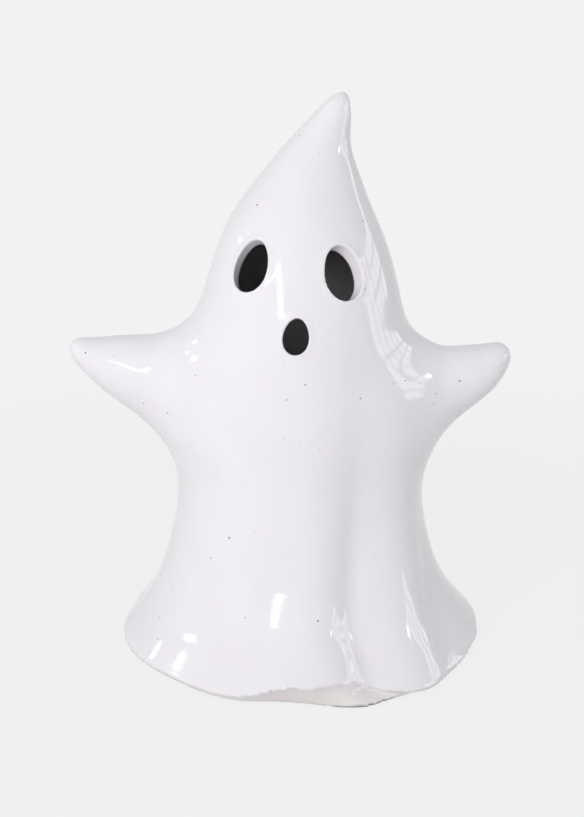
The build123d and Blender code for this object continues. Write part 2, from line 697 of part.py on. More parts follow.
def lamp_plate():
    """Lid of the case with holes for the lamps and a seat for the diffuser."""
    plate = upright(CASE_RADIUS, CASE_TOP_Z, PLATE_TOP_Z)
    spigot = CASE_INNER - SLIDE_CLEARANCE
    low = CASE_TOP_Z - SPIGOT_HEIGHT
    plate += upright(spigot, low, CASE_TOP_Z) - upright(spigot - SPIGOT_WALL, low, CASE_TOP_Z)
    for at in led_places():
        plate -= upright(LED_RADIUS + LED_HOLE_CLEARANCE, CASE_TOP_Z, PLATE_TOP_Z, at)
    for angle in PLATE_BOSS_ANGLES:
        at = around(angle, PLATE_BOSS_CIRCLE)
        plate -= upright(PLATE_SHANK_RADIUS + SCREW_CLEARANCE, CASE_TOP_Z, PLATE_TOP_Z, at)
    seat = DOME_RADIUS + DOME_BRIM + SEAT_GAP
    return plate - upright(seat, PLATE_TOP_Z - DOME_SEAT_DEPTH, PLATE_TOP_Z)


def diffuser_dome():
    """Frosted dome over the lamps, with a flat brim."""
    base = PLATE_TOP_Z - DOME_SEAT_DEPTH
    straight = base + DOME_HEIGHT - DOME_RADIUS
    outside = upright(DOME_RADIUS, base, straight) + Pos(0.0, 0.0, straight) * Sphere(DOME_RADIUS)
    inner = DOME_RADIUS - DOME_WALL
    inside = upright(inner, base, straight) + Pos(0.0, 0.0, straight) * Sphere(inner)
    brim = upright(DOME_RADIUS + DOME_BRIM, base, base + DOME_WALL)
    keep = upright(DOME_RADIUS + DOME_BRIM, base, base + DOME_HEIGHT)
    return ((outside + brim) & keep) - inside


def screw(at, seat, shank, head, length):
    """Pan-head screw with a straight slot, its head on a seat."""
    body = upright(shank, seat - length, seat, at) + upright(head, seat, seat + HEAD_HEIGHT, at)
    return body - block(2 * head, SLOT_WIDTH, seat + HEAD_HEIGHT - SLOT_DEPTH, seat + HEAD_HEIGHT, at)


def board_screws():
    """Screws that hold the board on its bosses."""
    size = (BOARD_TOP_Z, BOARD_SHANK_RADIUS, BOARD_HEAD_RADIUS, BOARD_SCREW_LENGTH)
    return Compound([screw(around(angle, BOARD_BOSS_CIRCLE), *size) for angle in BOARD_BOSS_ANGLES])


def lamp_plate_screws():
    """Screws that hold the lamp plate on the case."""
    size = (PLATE_TOP_Z, PLATE_SHANK_RADIUS, PLATE_HEAD_RADIUS, PLATE_SCREW_LENGTH)
    return Compound([screw(around(angle, PLATE_BOSS_CIRCLE), *size) for angle in PLATE_BOSS_ANGLES])


def switch_body():
    """Slide switch standing on the flange, hollow under the knob's head."""
    at = (0.0, SWITCH_CENTRE)
    body = block(SWITCH_LENGTH, SWITCH_WIDTH, SEAT_Z, SEAT_Z + SWITCH_HEIGHT, at)
    length = KNOB_HEAD_LENGTH + SWITCH_TRAVEL + 2 * SLIDE_CLEARANCE
    width = KNOB_HEAD_WIDTH + 2 * SLIDE_CLEARANCE
    return body - block(length, width, SEAT_Z, SEAT_Z + KNOB_HEAD_HEIGHT + 2 * SLIDE_CLEARANCE, at)


def switch_knob():
    """Knob of the switch, resting at the off end of its travel."""
    at = (-SWITCH_TRAVEL / 2, SWITCH_CENTRE)
    head_z = SEAT_Z + SLIDE_CLEARANCE
    head = block(KNOB_HEAD_LENGTH, KNOB_HEAD_WIDTH, head_z, head_z + KNOB_HEAD_HEIGHT, at)
    return head + block(KNOB_STEM_LENGTH, KNOB_STEM_WIDTH, FLANGE_Z - KNOB_PROUD, head_z, at)


def wire_run(start, end_xy, top):
    """Insulated wire that rises, crosses over and comes down on the board."""
    x, y, _ = start
    end_x, end_y = end_xy
    corners = [start, (x, y, top), (end_x, end_y, top), (end_x, end_y, BOARD_TOP_Z)]
    path = FilletPolyline(corners, radius=WIRE_BEND)
    return sweep(Plane(origin=path @ 0, z_dir=path % 0) * Circle(WIRE_RADIUS), path=path)


def terminal_wire(side, row):
    """Wire from a terminal's tab to the board."""
    x, y = tab_place(side, row)
    start = (x, y, ROOF_TOP_Z + TAB_RISE)
    end = (side * math.sqrt(WIRE_CIRCLE**2 - y**2), y)
    return wire_run(start, end, BOARD_TOP_Z + WIRE_RISE)


def switch_wires():
    """Two wires from the switch to the board."""
    runs = []
    for side in (-1.0, 1.0):
        x = side * SWITCH_WIRE_SPACING / 2
        start = (x, SWITCH_CENTRE, SEAT_Z + SWITCH_HEIGHT)
        runs.append(wire_run(start, (x, math.sqrt(WIRE_CIRCLE**2 - x**2)), BOARD_TOP_Z + WIRE_RISE))
    return Compound(runs)


def build_parts():
    """Every piece by its name."""
    last = CELL_COUNT - 1
    parts = {
        "ghost_shell": ghost_shell(),
        "felt_dots": felt_dots(),
        "light_case": light_case(),
        "grip_ring": grip_ring(),
        "battery_door": battery_door(),
        "negative_terminal": contact_plate(-1.0, [0], 0),
        "positive_terminal": contact_plate(1.0, [last], last),
        "link_plate_left": contact_plate(-1.0, [1, 2]),
        "link_plate_right": contact_plate(1.0, [0, 1]),
        "circuit_board": circuit_board(),
        "led_lenses": led_lenses(),
        "led_leads": led_leads(),
        "timer_chip": timer_chip(),
        "resistor": resistor(),
        "board_screws": board_screws(),
        "lamp_plate": lamp_plate(),
        "lamp_plate_screws": lamp_plate_screws(),
        "diffuser_dome": diffuser_dome(),
        "switch_body": switch_body(),
        "switch_knob": switch_knob(),
        "red_wire": terminal_wire(1.0, last),
        "black_wire": terminal_wire(-1.0, 0),
        "switch_wires": switch_wires(),
    }
    for row in range(CELL_COUNT):
        parts[f"cell_{row + 1}"] = cell(row)
        parts[f"contact_spring_{row + 1}"] = contact_spring(row)
    return parts


os.makedirs("parts", exist_ok=True)
for name, shape in build_parts().items():
    export_step(Pos(ORIGIN_MOVE, 0.0, 0.0) * shape, f"parts/{name}.step")
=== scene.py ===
"""Dresses the glazed ceramic ghost and the battery light in its foot, and sets it in a plain studio."""

import itertools
import json
import logging
import math
from dataclasses import dataclass, field
from enum import Enum
from typing import Callable, Sequence

import bmesh
import bpy
import numpy as np
from bpy.types import ID, Material, Mesh, Node, NodeSocket, NodeTree, Object
from mathutils import Matrix, Quaternion, Vector


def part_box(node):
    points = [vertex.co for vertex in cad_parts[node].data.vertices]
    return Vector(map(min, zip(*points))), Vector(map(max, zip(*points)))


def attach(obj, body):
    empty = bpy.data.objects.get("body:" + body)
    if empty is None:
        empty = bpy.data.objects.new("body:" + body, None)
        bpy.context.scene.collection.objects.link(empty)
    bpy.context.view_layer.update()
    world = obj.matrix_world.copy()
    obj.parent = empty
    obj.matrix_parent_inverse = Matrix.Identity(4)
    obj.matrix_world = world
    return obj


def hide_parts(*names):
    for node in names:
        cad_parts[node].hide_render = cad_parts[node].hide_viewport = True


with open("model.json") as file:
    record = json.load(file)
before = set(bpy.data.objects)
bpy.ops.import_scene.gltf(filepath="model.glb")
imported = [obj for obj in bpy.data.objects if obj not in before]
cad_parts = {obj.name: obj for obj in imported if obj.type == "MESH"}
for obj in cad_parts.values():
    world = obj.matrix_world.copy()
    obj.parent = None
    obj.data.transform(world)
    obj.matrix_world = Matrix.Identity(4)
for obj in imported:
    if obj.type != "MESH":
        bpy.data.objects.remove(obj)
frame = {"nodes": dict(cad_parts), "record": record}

LOG = logging.getLogger("ghost")
MM = 0.001
# How far the foot's axis is to the right of the frame's origin, in millimetres.
FOOT_AXIS = 4.1
Colour = tuple[float, float, float]
# Places to the right, to the back and upward, in millimetres.
Places = Sequence[np.ndarray]
Rule = Callable[[Places], np.ndarray]


class Body(Enum):
    """The bodies that the added pieces move with."""

    GHOST = "ghost"
    LIGHT = "light_plug"
    DOOR = "battery_door"


class Slot(Enum):
    """The part's finishes, as its record names them."""

    GLAZE = "glaze"
    FELT = "felt"
    CASE = "case_plastic"
    SILICONE = "silicone"
    CELL = "cell_jacket"
    CONTACT = "contact_metal"
    SCREW = "screw_steel"
    BOARD = "board_green"
    LENS = "lens"
    BLACK = "black_plastic"
    RESISTOR = "resistor_body"
    FROSTED = "frosted"
    RED = "red_sheath"
    DARK = "black_sheath"
    YELLOW = "yellow_sheath"


class Layout(Enum):
    """How the copies of a small repeated shape are set out."""

    RING = "ring"
    ROW = "row"


class Bump(Enum):
    """The small shape that is repeated."""

    DOME = "dome"
    DISC = "disc"


def place_object(name: str, data: ID) -> Object:
    """Puts a new object into the scene.

    Args:
        name: Its name.
        data: Its mesh, light or camera.

    Returns:
        The object.
    """
    placed = bpy.data.objects.new(name, data)
    bpy.context.scene.collection.objects.link(placed)
    return placed


def add_piece(
    name: str,
    mesh: Mesh,
    body: Body,
    stands_for: Sequence[str] = (),
) -> None:
    """Puts a finished mesh into the scene as a piece of the object.

    Args:
        name: The piece's name.
        mesh: Its mesh, with its place in its vertices.
        body: The body that it moves with.
        stands_for: The frame's nodes that it replaces.
    """
    piece = place_object(name, mesh)
    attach(piece, body.value)
    if stands_for:
        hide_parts(*stands_for)
    LOG.info("%s: %d faces on %s", name, len(mesh.polygons), body.value)


def store_values(mesh: Mesh, name: str, values: np.ndarray) -> None:
    """Keeps a number for each point of a mesh, for its finish to read."""
    numbers = mesh.attributes.new(name, "FLOAT", "POINT")
    numbers.data.foreach_set("value", values.astype(np.float32))


class SmoothLine:
    """A line of steady bend through given points, straight beyond its ends."""

    def __init__(self, at: Sequence[float], values: Sequence[float]) -> None:
        """Finds the slope at each point.

        Args:
            at: Where the points are, rising.
            values: The line's value at each.
        """
        self.at = np.asarray(at, float)
        self.values = np.asarray(values, float)
        step = np.diff(self.at)
        rise = np.diff(self.values) / step
        count = len(self.at)
        balance = np.zeros((count, count))
        pull = np.zeros(count)
        balance[0, :2] = (2.0, 1.0)
        balance[-1, -2:] = (1.0, 2.0)
        pull[0] = 3.0 * rise[0]
        pull[-1] = 3.0 * rise[-1]
        for index in range(1, count - 1):
            before = 1.0 / step[index - 1]
            after = 1.0 / step[index]
            balance[index, index - 1 : index + 2] = (before, 2.0 * (before + after), after)
            pull[index] = 3.0 * (rise[index - 1] * before + rise[index] * after)
        self.slopes = np.linalg.solve(balance, pull)

    def read(self, where: np.ndarray) -> tuple[np.ndarray, np.ndarray]:
        """Reads the line.

        Args:
            where: Places along it.

        Returns:
            Its values and its slopes there.
        """
        held = np.clip(where, self.at[0], self.at[-1])
        low = np.clip(np.searchsorted(self.at, held, side="right") - 1, 0, len(self.at) - 2)
        width = self.at[low + 1] - self.at[low]
        share = (held - self.at[low]) / width
        start, end = self.values[low], self.values[low + 1]
        out, into = self.slopes[low] * width, self.slopes[low + 1] * width
        square = share * share
        cube = square * share
        value = start * (2 * cube - 3 * square + 1) + end * (3 * square - 2 * cube)
        value += out * (cube - 2 * square + share) + into * (cube - square)
        slope = (start - end) * (6 * square - 6 * share)
        slope += out * (3 * square - 4 * share + 1) + into * (3 * square - 2 * share)
        slope = slope / width
        return value + slope * (where - held), slope


def join(first: np.ndarray, second: np.ndarray, reach: np.ndarray | float) -> np.ndarray:
    """Joins two solids with a soft fillet.

    Args:
        first: Depths outside the first solid.
        second: Depths outside the second.
        reach: How far the fillet reaches.

    Returns:
        Depths outside both together.
    """
    near = np.maximum(reach - np.abs(first - second), 0.0) / reach
    return np.minimum(first, second) - near**3 * reach / 6.0


def cut(solid: np.ndarray, tool: np.ndarray, reach: float) -> np.ndarray:
    """Cuts one solid out of another with a softly rounded edge.

    Args:
        solid: Depths outside the solid.
        tool: Depths outside what is cut away.
        reach: How far the rounding reaches.

    Returns:
        Depths outside what is left.
    """
    return -join(-solid, tool, reach)


def ease(value: np.ndarray, start: float, end: float) -> np.ndarray:
    """Rises smoothly from nothing at the start to one at the end."""
    share = np.clip((value - start) / (end - start), 0.0, 1.0)
    return share * share * (3.0 - 2.0 * share)


def heading(turn: float, rise: float) -> Vector:
    """Gives the direction at a turn from straight ahead and a rise, both in radians."""
    return Vector((math.sin(turn) * math.cos(rise), -math.cos(turn) * math.cos(rise), math.sin(rise)))


@dataclass(frozen=True)
class Girdle:
    """One ring of the body, in shares of its main sizes."""

    level: float
    width: float
    depth: float
    right: float
    back: float


@dataclass(frozen=True)
class ArmRing:
    """One ring across an arm, in shares of its reach, the body's height and the arm's root."""

    out: float
    level: float
    height: float
    depth: float


@dataclass(frozen=True)
class Wave:
    """One soft wave of the skirt: its middle, its spread, and its size in millimetres."""

    middle: float
    spread: float
    size: float


@dataclass(frozen=True)
class Pierced:
    """One egg-shaped hole in the face: where it is, how it aims and how large it is."""

    turn: float
    level: float
    aim_turn: float
    aim_rise: float
    width: float
    length: float
    lean: float


Aimed = tuple[Pierced, Vector, Matrix]
GIRDLES = (
    Girdle(0.0, 0.953, 0.946, 0.0, 0.0),
    Girdle(0.007, 0.968, 0.964, 0.0, 0.0),
    Girdle(0.0127, 0.985, 0.984, 0.0, 0.0),
    Girdle(0.017, 0.999, 0.999, 0.0, 0.0),
    Girdle(0.0205, 0.998, 0.998, -0.005, 0.0),
    Girdle(0.029, 0.980, 0.980, -0.01, 0.0),
    Girdle(0.067, 0.888, 0.886, -0.02, 0.0),
    Girdle(0.119, 0.795, 0.788, -0.04, 0.0),
    Girdle(0.189, 0.721, 0.706, -0.04, 0.0),
    Girdle(0.285, 0.666, 0.643, -0.02, 0.0),
    Girdle(0.39, 0.645, 0.616, -0.01, 0.0),
    Girdle(0.495, 0.616, 0.587, 0.0, 0.1),
    Girdle(0.6, 0.559, 0.534, 0.0, 0.24),
    Girdle(0.705, 0.478, 0.458, 0.04, 0.44),
    Girdle(0.762, 0.416, 0.4, 0.05, 0.6),
    Girdle(0.814, 0.338, 0.325, 0.1, 0.76),
    Girdle(0.869, 0.242, 0.233, 0.256, 0.88),
    Girdle(0.912, 0.17, 0.164, 0.42, 0.96),
    Girdle(0.959, 0.103, 0.1, 0.732, 1.0),
    Girdle(0.989, 0.052, 0.052, 0.915, 1.0),
)
RIGHT_ARM = (
    ArmRing(0.348, 0.46, 0.948, 0.963),
    ArmRing(0.487, 0.46, 0.897, 0.852),
    ArmRing(0.58, 0.465, 0.786, 0.704),
    ArmRing(0.661, 0.474, 0.634, 0.578),
    ArmRing(0.766, 0.49, 0.503, 0.481),
    ArmRing(0.864, 0.506, 0.4, 0.407),
    ArmRing(0.94, 0.522, 0.297, 0.311),
    ArmRing(0.979, 0.531, 0.179, 0.193),
)
LEFT_ARM = (
    ArmRing(0.318, 0.478, 1.0, 1.0),
    ArmRing(0.445, 0.478, 0.931, 0.874),
    ArmRing(0.54, 0.481, 0.821, 0.719),
    ArmRing(0.62, 0.488, 0.697, 0.607),
    ArmRing(0.72, 0.502, 0.566, 0.519),
    ArmRing(0.826, 0.517, 0.428, 0.422),
    ArmRing(0.922, 0.534, 0.276, 0.296),
    ArmRing(0.981, 0.546, 0.152, 0.163),
)
FRONT_FOLDS = (
    Wave(4.0, 8.0, 1.2),
    Wave(23.0, 9.0, -6.6),
    Wave(43.5, 10.0, 3.2),
    Wave(56.0, 7.0, -1.4),
    Wave(64.0, 12.0, 1.4),
)
BACK_FOLDS = (
    Wave(66.0, 11.0, -2.0),
    Wave(118.0, 12.0, -3.6),
    Wave(165.0, 12.0, -4.0),
    Wave(215.0, 12.0, -3.2),
    Wave(262.0, 12.0, -2.4),
    Wave(316.0, 14.0, -1.4),
)
LIFTS = (
    Wave(-4.0, 10.0, 6.2),
    Wave(11.0, 10.0, 6.8),
    Wave(54.0, 24.0, -2.4),
    Wave(118.0, 14.0, 4.0),
    Wave(215.0, 14.0, 4.5),
)
FOOT_WAVES = (Wave(-5.0, 13.0, -3.8), Wave(18.0, 9.0, 4.0), Wave(44.0, 20.0, 2.8))
LEFT_EYE = Pierced(-35.0, 0.725, -24.0, 35.0, 14.6, 20.0, 9.0)
RIGHT_EYE = Pierced(26.5, 0.716, 52.0, 31.0, 14.2, 21.2, 0.0)
MOUTH = Pierced(-2.8, 0.616, -1.0, 16.0, 10.0, 14.1, 6.0)


def waves(terms: Sequence[Wave], place: np.ndarray, whole: float = 360.0) -> np.ndarray:
    """Sums soft waves along a line that meets itself.

    Args:
        terms: The waves.
        place: Places along it, such as turns in degrees from straight ahead.
        whole: How long the line is before it meets itself.

    Returns:
        Their sum at each place.
    """
    total = np.zeros_like(place)
    for term in terms:
        apart = (place - term.middle + whole / 2) % whole - whole / 2
        total += term.size * np.exp(-((apart / term.spread) ** 2))
    return total


class ArmForm:
    """The outside of one raised arm."""

    def __init__(self, rings: Sequence[ArmRing], side: float, reach: float, form: "CeramicForm") -> None:
        """Draws the arm's smooth lines.

        Args:
            rings: The arm's rings from its root out.
            side: One for the right arm and minus one for the left.
            reach: How far its tip is from the body's axis.
            form: The casting that it belongs to.
        """
        self.side = side
        self.root = rings[0].out * reach - form.arm_overlap
        out = [ring.out * reach for ring in rings] + [reach]
        level = [form.foot + ring.level * form.height for ring in rings]
        half = [ring.height * form.arm_height / 2 for ring in rings]
        ratio = [ring.height * form.arm_height / (ring.depth * form.arm_depth) for ring in rings]
        self.middle = SmoothLine(out, level + [level[-1] + form.arm_tip_rise])
        self.square = SmoothLine(out, [size * size for size in half] + [0.0])
        self.ratio = SmoothLine(out[:-1], ratio)

    def depth(self, places: Places) -> np.ndarray:
        """Gives the distance outside the arm.

        Args:
            places: Where to ask.

        Returns:
            The distances, less than nothing inside.
        """
        x, y, z = places
        out = self.side * x
        held = np.maximum(out, self.root)
        middle, tilt = self.middle.read(held)
        square, taper = self.square.read(held)
        ratio, _ = self.ratio.read(np.minimum(held, self.ratio.at[-1]))
        rise = z - middle
        far = rise * rise + (y * ratio) ** 2
        slope = taper + 2.0 * rise * tilt
        size = np.sqrt(far) + np.sqrt(np.maximum(square, 0.0) + 1.0)
        arm = (far - square) / np.sqrt(size * size + slope * slope)
        return np.maximum(arm, self.root - out)


@dataclass
class CeramicForm:
    """The shape of the casting, in millimetres from the axis of its foot."""

    height: float = 228.9
    hem_width: float = 153.2
    hem_depth: float = 151.2
    tip_right: float = 16.4
    tip_back: float = 5.0
    left_reach: float = 94.4
    right_reach: float = 86.2
    arm_height: float = 58.0
    arm_depth: float = 54.0
    arm_tip_rise: float = 0.6
    foot: float = 0.6
    wall: float = 5.0
    floor: float = 5.0
    hollow_top: float = 204.0
    recess_depth: float = 4.5
    recess_radius: float = 47.0
    recess_wall: float = 5.0
    opening_radius: float = 36.0
    fold_share: float = 0.59
    fold_fade: float = 1.6
    front_fold_share: float = 0.66
    low_sweep: float = 5.0
    low_sweep_top: float = 26.0
    high_sweep: float = 1.5
    high_sweep_top: float = 110.0
    lift_share: float = 0.175
    roll: float = 3.9
    egg_taper: float = 0.12
    pierce_depth: float = 15.0
    rim: float = 1.5
    rim_swell: float = 0.6
    rim_spread: float = 1.9
    armpit_above: float = 18.0
    armpit_below: float = 30.0
    armpit_low: float = 90.0
    armpit_high: float = 135.0
    arm_overlap: float = 8.0
    hem_margin: float = 8.0
    sweep_from: float = 4.0
    sweep_to: float = 22.0
    side_on: float = 0.1
    face_on: float = 0.5
    endless: float = 1000.0
    foot_round: float = 1.6
    hollow_round: float = 4.0
    wall_round: float = 2.0
    recess_round: float = 1.4
    opening_round: float = 1.2
    opening_top: float = 40.0
    opening_gap: float = 0.05
    arms: tuple[ArmForm, ...] = field(init=False)

    def __post_init__(self) -> None:
        """Draws the smooth lines of the body and the arms."""
        levels = [self.foot + girdle.level * self.height for girdle in GIRDLES] + [self.foot + self.height]
        half = [girdle.width * self.hem_width / 2 for girdle in GIRDLES]
        ratio = [girdle.width * self.hem_width / (girdle.depth * self.hem_depth) for girdle in GIRDLES]
        self.square = SmoothLine(levels, [size * size for size in half] + [0.0])
        self.ratio = SmoothLine(levels[:-1], ratio)
        right = [girdle.right * self.tip_right for girdle in GIRDLES]
        back = [girdle.back * self.tip_back for girdle in GIRDLES]
        self.right = SmoothLine(levels, right + [self.tip_right])
        self.back = SmoothLine(levels, back + [self.tip_back])
        self.arms = (
            ArmForm(RIGHT_ARM, 1.0, self.right_reach, self),
            ArmForm(LEFT_ARM, -1.0, self.left_reach, self),
        )
        self.holes = [self.aim(hole) for hole in (LEFT_EYE, RIGHT_EYE, MOUTH)]

    def level_under(self, turn: np.ndarray, z: np.ndarray) -> np.ndarray:
        """Finds which girdle's level a lifted hem brings to each height.

        Args:
            turn: Turns in degrees from straight ahead.
            z: Heights.

        Returns:
            The levels before the hem was lifted.
        """
        top = self.lift_share * self.height
        lift = waves(LIFTS, turn)
        low = z - np.maximum(lift, 0.0) - 0.01
        high = z - np.minimum(lift, 0.0) + 0.01
        for _ in range(20):
            level = (low + high) / 2
            rolled = ease(level, self.foot, self.foot + self.roll)
            left = np.clip(1.0 - (level - self.foot) / top, 0.0, 1.0)
            above = level + lift * rolled * left > z
            high = np.where(above, level, high)
            low = np.where(above, low, level)
        return (low + high) / 2

    def body_depth(self, places: Places) -> np.ndarray:
        """Gives the distance outside the body, folds and hem included.

        Args:
            places: Where to ask.

        Returns:
            The distances, less than nothing inside.
        """
        x, y, z = places
        right, lean = self.right.read(z)
        back, tilt = self.back.read(z)
        ratio, _ = self.ratio.read(np.minimum(z, self.ratio.at[-1]))
        across = x - right
        along = (y - back) * ratio
        turn = np.degrees(np.arctan2(across, -along))
        level = np.array(z, float)
        hem = z < self.lift_share * self.height + self.hem_margin
        level[hem] = self.level_under(turn[hem], z[hem])
        square, taper = self.square.read(level)
        up = (level - self.foot) / self.height
        fade = np.clip(1.0 - up / self.fold_share, 0.0, 1.0) ** self.fold_fade
        rolled = ease(level, self.foot, self.foot + self.roll)
        half = np.sqrt(np.maximum(square, 1.0))
        sideways = half * np.sin(np.radians(turn))
        swept = self.low_sweep * (1.0 - ease(level, self.foot + self.roll, self.low_sweep_top))
        swept += self.high_sweep * ease(level, self.low_sweep_top, self.high_sweep_top)
        sideways = sideways - swept * ease(sideways, self.sweep_from, self.sweep_to)
        facing = ease(np.cos(np.radians(turn)), self.side_on, self.face_on) * rolled
        facing *= np.clip(1.0 - up / self.front_fold_share, 0.0, 1.0)
        fold = waves(BACK_FOLDS, turn) * fade + waves(FRONT_FOLDS, sideways, self.endless) * facing
        fold += (1.0 - rolled) * waves(FOOT_WAVES, turn)
        square = square + fold * (2.0 * half + fold)
        far = across * across + along * along
        slope = taper + 2.0 * across * lean + 2.0 * along * tilt * ratio
        size = np.sqrt(far) + np.sqrt(np.maximum(square, 0.0) + 1.0)
        return (far - square) / np.sqrt(size * size + slope * slope)

    def skin_depth(self, places: Places) -> np.ndarray:
        """Gives the distance outside the figure's skin, body and arms together.

        Args:
            places: Where to ask.

        Returns:
            The distances, less than nothing inside.
        """
        depth = self.body_depth(places)
        share = ease(places[2], self.armpit_low, self.armpit_high)
        reach = self.armpit_below + (self.armpit_above - self.armpit_below) * share
        for arm in self.arms:
            depth = join(depth, arm.depth(places), reach)
        return depth

    def aim(self, hole: Pierced) -> Aimed:
        """Finds where a hole meets the skin and which way it points.

        Args:
            hole: The hole.

        Returns:
            The hole, its middle on the skin, and its directions across, along and outward as rows.
        """
        turn = math.radians(hole.aim_turn)
        outward = heading(turn, math.radians(hole.aim_rise))
        level_across = Vector((math.cos(turn), math.sin(turn), 0.0))
        upward = outward.cross(level_across)
        lean = math.radians(hole.lean)
        across = level_across * math.cos(lean) - upward * math.sin(lean)
        along = level_across * math.sin(lean) + upward * math.cos(lean)
        z = np.array([self.foot + hole.level * self.height])
        half = float(np.sqrt(self.square.read(z)[0][0]))
        ratio = float(self.ratio.read(z)[0][0])
        spot = math.radians(hole.turn)
        x = float(self.right.read(z)[0][0]) + half * math.sin(spot)
        y = float(self.back.read(z)[0][0]) - half / ratio * math.cos(spot)
        return hole, Vector((x, y, float(z[0]))), Matrix((across, along, outward))

    def hole_depth(self, aimed: Aimed, places: Places) -> np.ndarray:
        """Gives the distance outside one hole's egg-shaped bore.

        Args:
            aimed: The hole, its middle and its directions.
            places: Where to ask.

        Returns:
            The distances.
        """
        hole, middle, ways = aimed
        offset = [place - start for place, start in zip(places, middle)]
        side, rise, out = (sum(way[axis] * offset[axis] for axis in range(3)) for way in ways)
        rise = rise / (hole.length / 2)
        half = hole.width / 2 * (1.0 - self.egg_taper * np.clip(rise, -1.3, 1.3))
        side = side / half
        far = side * side + rise * rise
        steep = np.sqrt((side / half) ** 2 + (rise / (hole.length / 2)) ** 2) + 0.01
        egg = (far - 1.0) / (np.sqrt(far) + 1.0) * np.sqrt(far) / steep
        return np.maximum(egg, -self.pierce_depth - out)

    def depth(self, places: Places) -> np.ndarray:
        """Gives the distance outside the whole pierced and hollow casting.

        Args:
            places: Where to ask.

        Returns:
            The distances, less than nothing inside.
        """
        x, y, z = places
        skin = self.skin_depth(places)
        foot = self.foot - z
        solid = cut(skin, -foot, self.foot_round)
        hollow = cut(skin + self.wall, z - (self.foot + self.floor), self.hollow_round)
        hollow = np.maximum(hollow, z - self.hollow_top)
        shell = cut(solid, hollow, self.wall_round)
        spread = np.hypot(x, y)
        seat = self.foot + self.recess_depth
        boss = np.maximum(spread - self.recess_radius - self.recess_wall, z - seat - self.floor)
        boss = np.maximum(boss, foot)
        shell = join(shell, boss, self.wall_round)
        shell = cut(shell, np.maximum(spread - self.recess_radius, z - seat), self.recess_round)
        bore = spread - self.opening_radius - self.opening_gap + np.maximum(z - self.opening_top, 0.0)
        shell = cut(shell, bore, self.opening_round)
        for aimed in self.holes:
            hole = self.hole_depth(aimed, places)
            shell = shell - self.rim_swell * np.exp(-((hole / self.rim_spread) ** 2)) * ease(skin, -4.0, -1.0)
            shell = cut(shell, hole, self.rim)
        return shell


@dataclass
class SkinNet:
    """A net of even four-sided faces laid over a shape that is known by its depths."""

    rule: Rule
    low: tuple[float, float, float]
    high: tuple[float, float, float]
    cell: float

    def lay(self) -> tuple[np.ndarray, np.ndarray]:
        """Lays the net over the shape.

        Returns:
            Its points, and four point numbers for each face, facing outward.
        """
        sides = [np.arange(start, end + self.cell, self.cell) for start, end in zip(self.low, self.high)]
        grid = np.meshgrid(*sides, indexing="ij")
        depths = self.rule(grid)
        inside = depths < 0.0
        corners = [(i, j, k) for i in (0, 1) for j in (0, 1) for k in (0, 1)]
        size = [count - 1 for count in depths.shape]
        held = np.zeros(size, int)
        for i, j, k in corners:
            held += inside[i : i + size[0], j : j + size[1], k : k + size[2]]
        cells = np.argwhere((held > 0) & (held < 8))
        number = np.full(size, -1)
        number[tuple(cells.T)] = np.arange(len(cells))
        return self.place(depths, cells, corners), self.face(inside, number)

    def place(self, depths: np.ndarray, cells: np.ndarray, corners: list[tuple[int, int, int]]) -> np.ndarray:
        """Puts one point in each cell that the skin passes through.

        Args:
            depths: The depth at each corner of the cells.
            cells: The cells that the skin passes through.
            corners: The eight corners of a cell.

        Returns:
            The middle of the places where each cell's edges meet the skin.
        """
        total = np.zeros((len(cells), 3))
        count = np.zeros((len(cells), 1))
        for start in corners:
            for axis in range(3):
                if start[axis]:
                    continue
                end = np.array(start)
                end[axis] = 1
                before = depths[tuple((cells + start).T)]
                after = depths[tuple((cells + end).T)]
                crossed = (before < 0.0) != (after < 0.0)
                gap = np.where(crossed, before - after, 1.0)
                spot = np.tile(np.array(start, float), (len(cells), 1))
                spot[:, axis] = before / gap
                total += np.where(crossed[:, None], spot, 0.0)
                count += crossed[:, None]
        return np.array(self.low) + (cells + total / count) * self.cell

    @staticmethod
    def face(inside: np.ndarray, number: np.ndarray) -> np.ndarray:
        """Joins the points of the four cells round each edge that the skin crosses.

        Args:
            inside: Which corners are inside the shape.
            number: The number of each cell's point.

        Returns:
            Four point numbers for each face.
        """
        faces = []
        for axis in range(3):
            first, second = (axis + 1) % 3, (axis + 2) % 3
            before = np.take(inside, range(inside.shape[axis] - 1), axis)
            after = np.take(inside, range(1, inside.shape[axis]), axis)
            edges = np.argwhere(before != after)
            entering = before[tuple(edges.T)]
            ring = []
            for step_first, step_second in ((1, 1), (0, 1), (0, 0), (1, 0)):
                cell = edges.copy()
                cell[:, first] -= step_first
                cell[:, second] -= step_second
                ring.append(number[tuple(cell.T)])
            quads = np.stack(ring, 1)
            faces.append(np.where(entering[:, None], quads, quads[:, ::-1]))
        return np.concatenate(faces)


def uphill(rule: Rule, points: np.ndarray, step: float = 0.15) -> np.ndarray:
    """Finds which way a shape's depth grows fastest.

    Args:
        rule: The shape's depth.
        points: Where to ask.
        step: How far to look each way.

    Returns:
        The growth along each axis at each point.
    """
    growth = np.zeros_like(points)
    for axis in range(3):
        nudge = np.zeros(3)
        nudge[axis] = step
        growth[:, axis] = rule((points + nudge).T) - rule((points - nudge).T)
    return growth / (2.0 * step)


def settle(rule: Rule, points: np.ndarray, rounds: int = 2, most: float = 0.8) -> np.ndarray:
    """Moves points straight onto a shape's skin.

    Args:
        rule: The shape's depth.
        points: The points near its skin.
        rounds: How many times to step.
        most: The longest step.

    Returns:
        The points on the skin.
    """
    for _ in range(rounds):
        growth = uphill(rule, points)
        square = np.maximum((growth**2).sum(1), 0.04)
        step = np.clip(rule(points.T) / np.sqrt(square), -most, most)
        points = points - growth * (step / np.sqrt(square))[:, None]
    return points


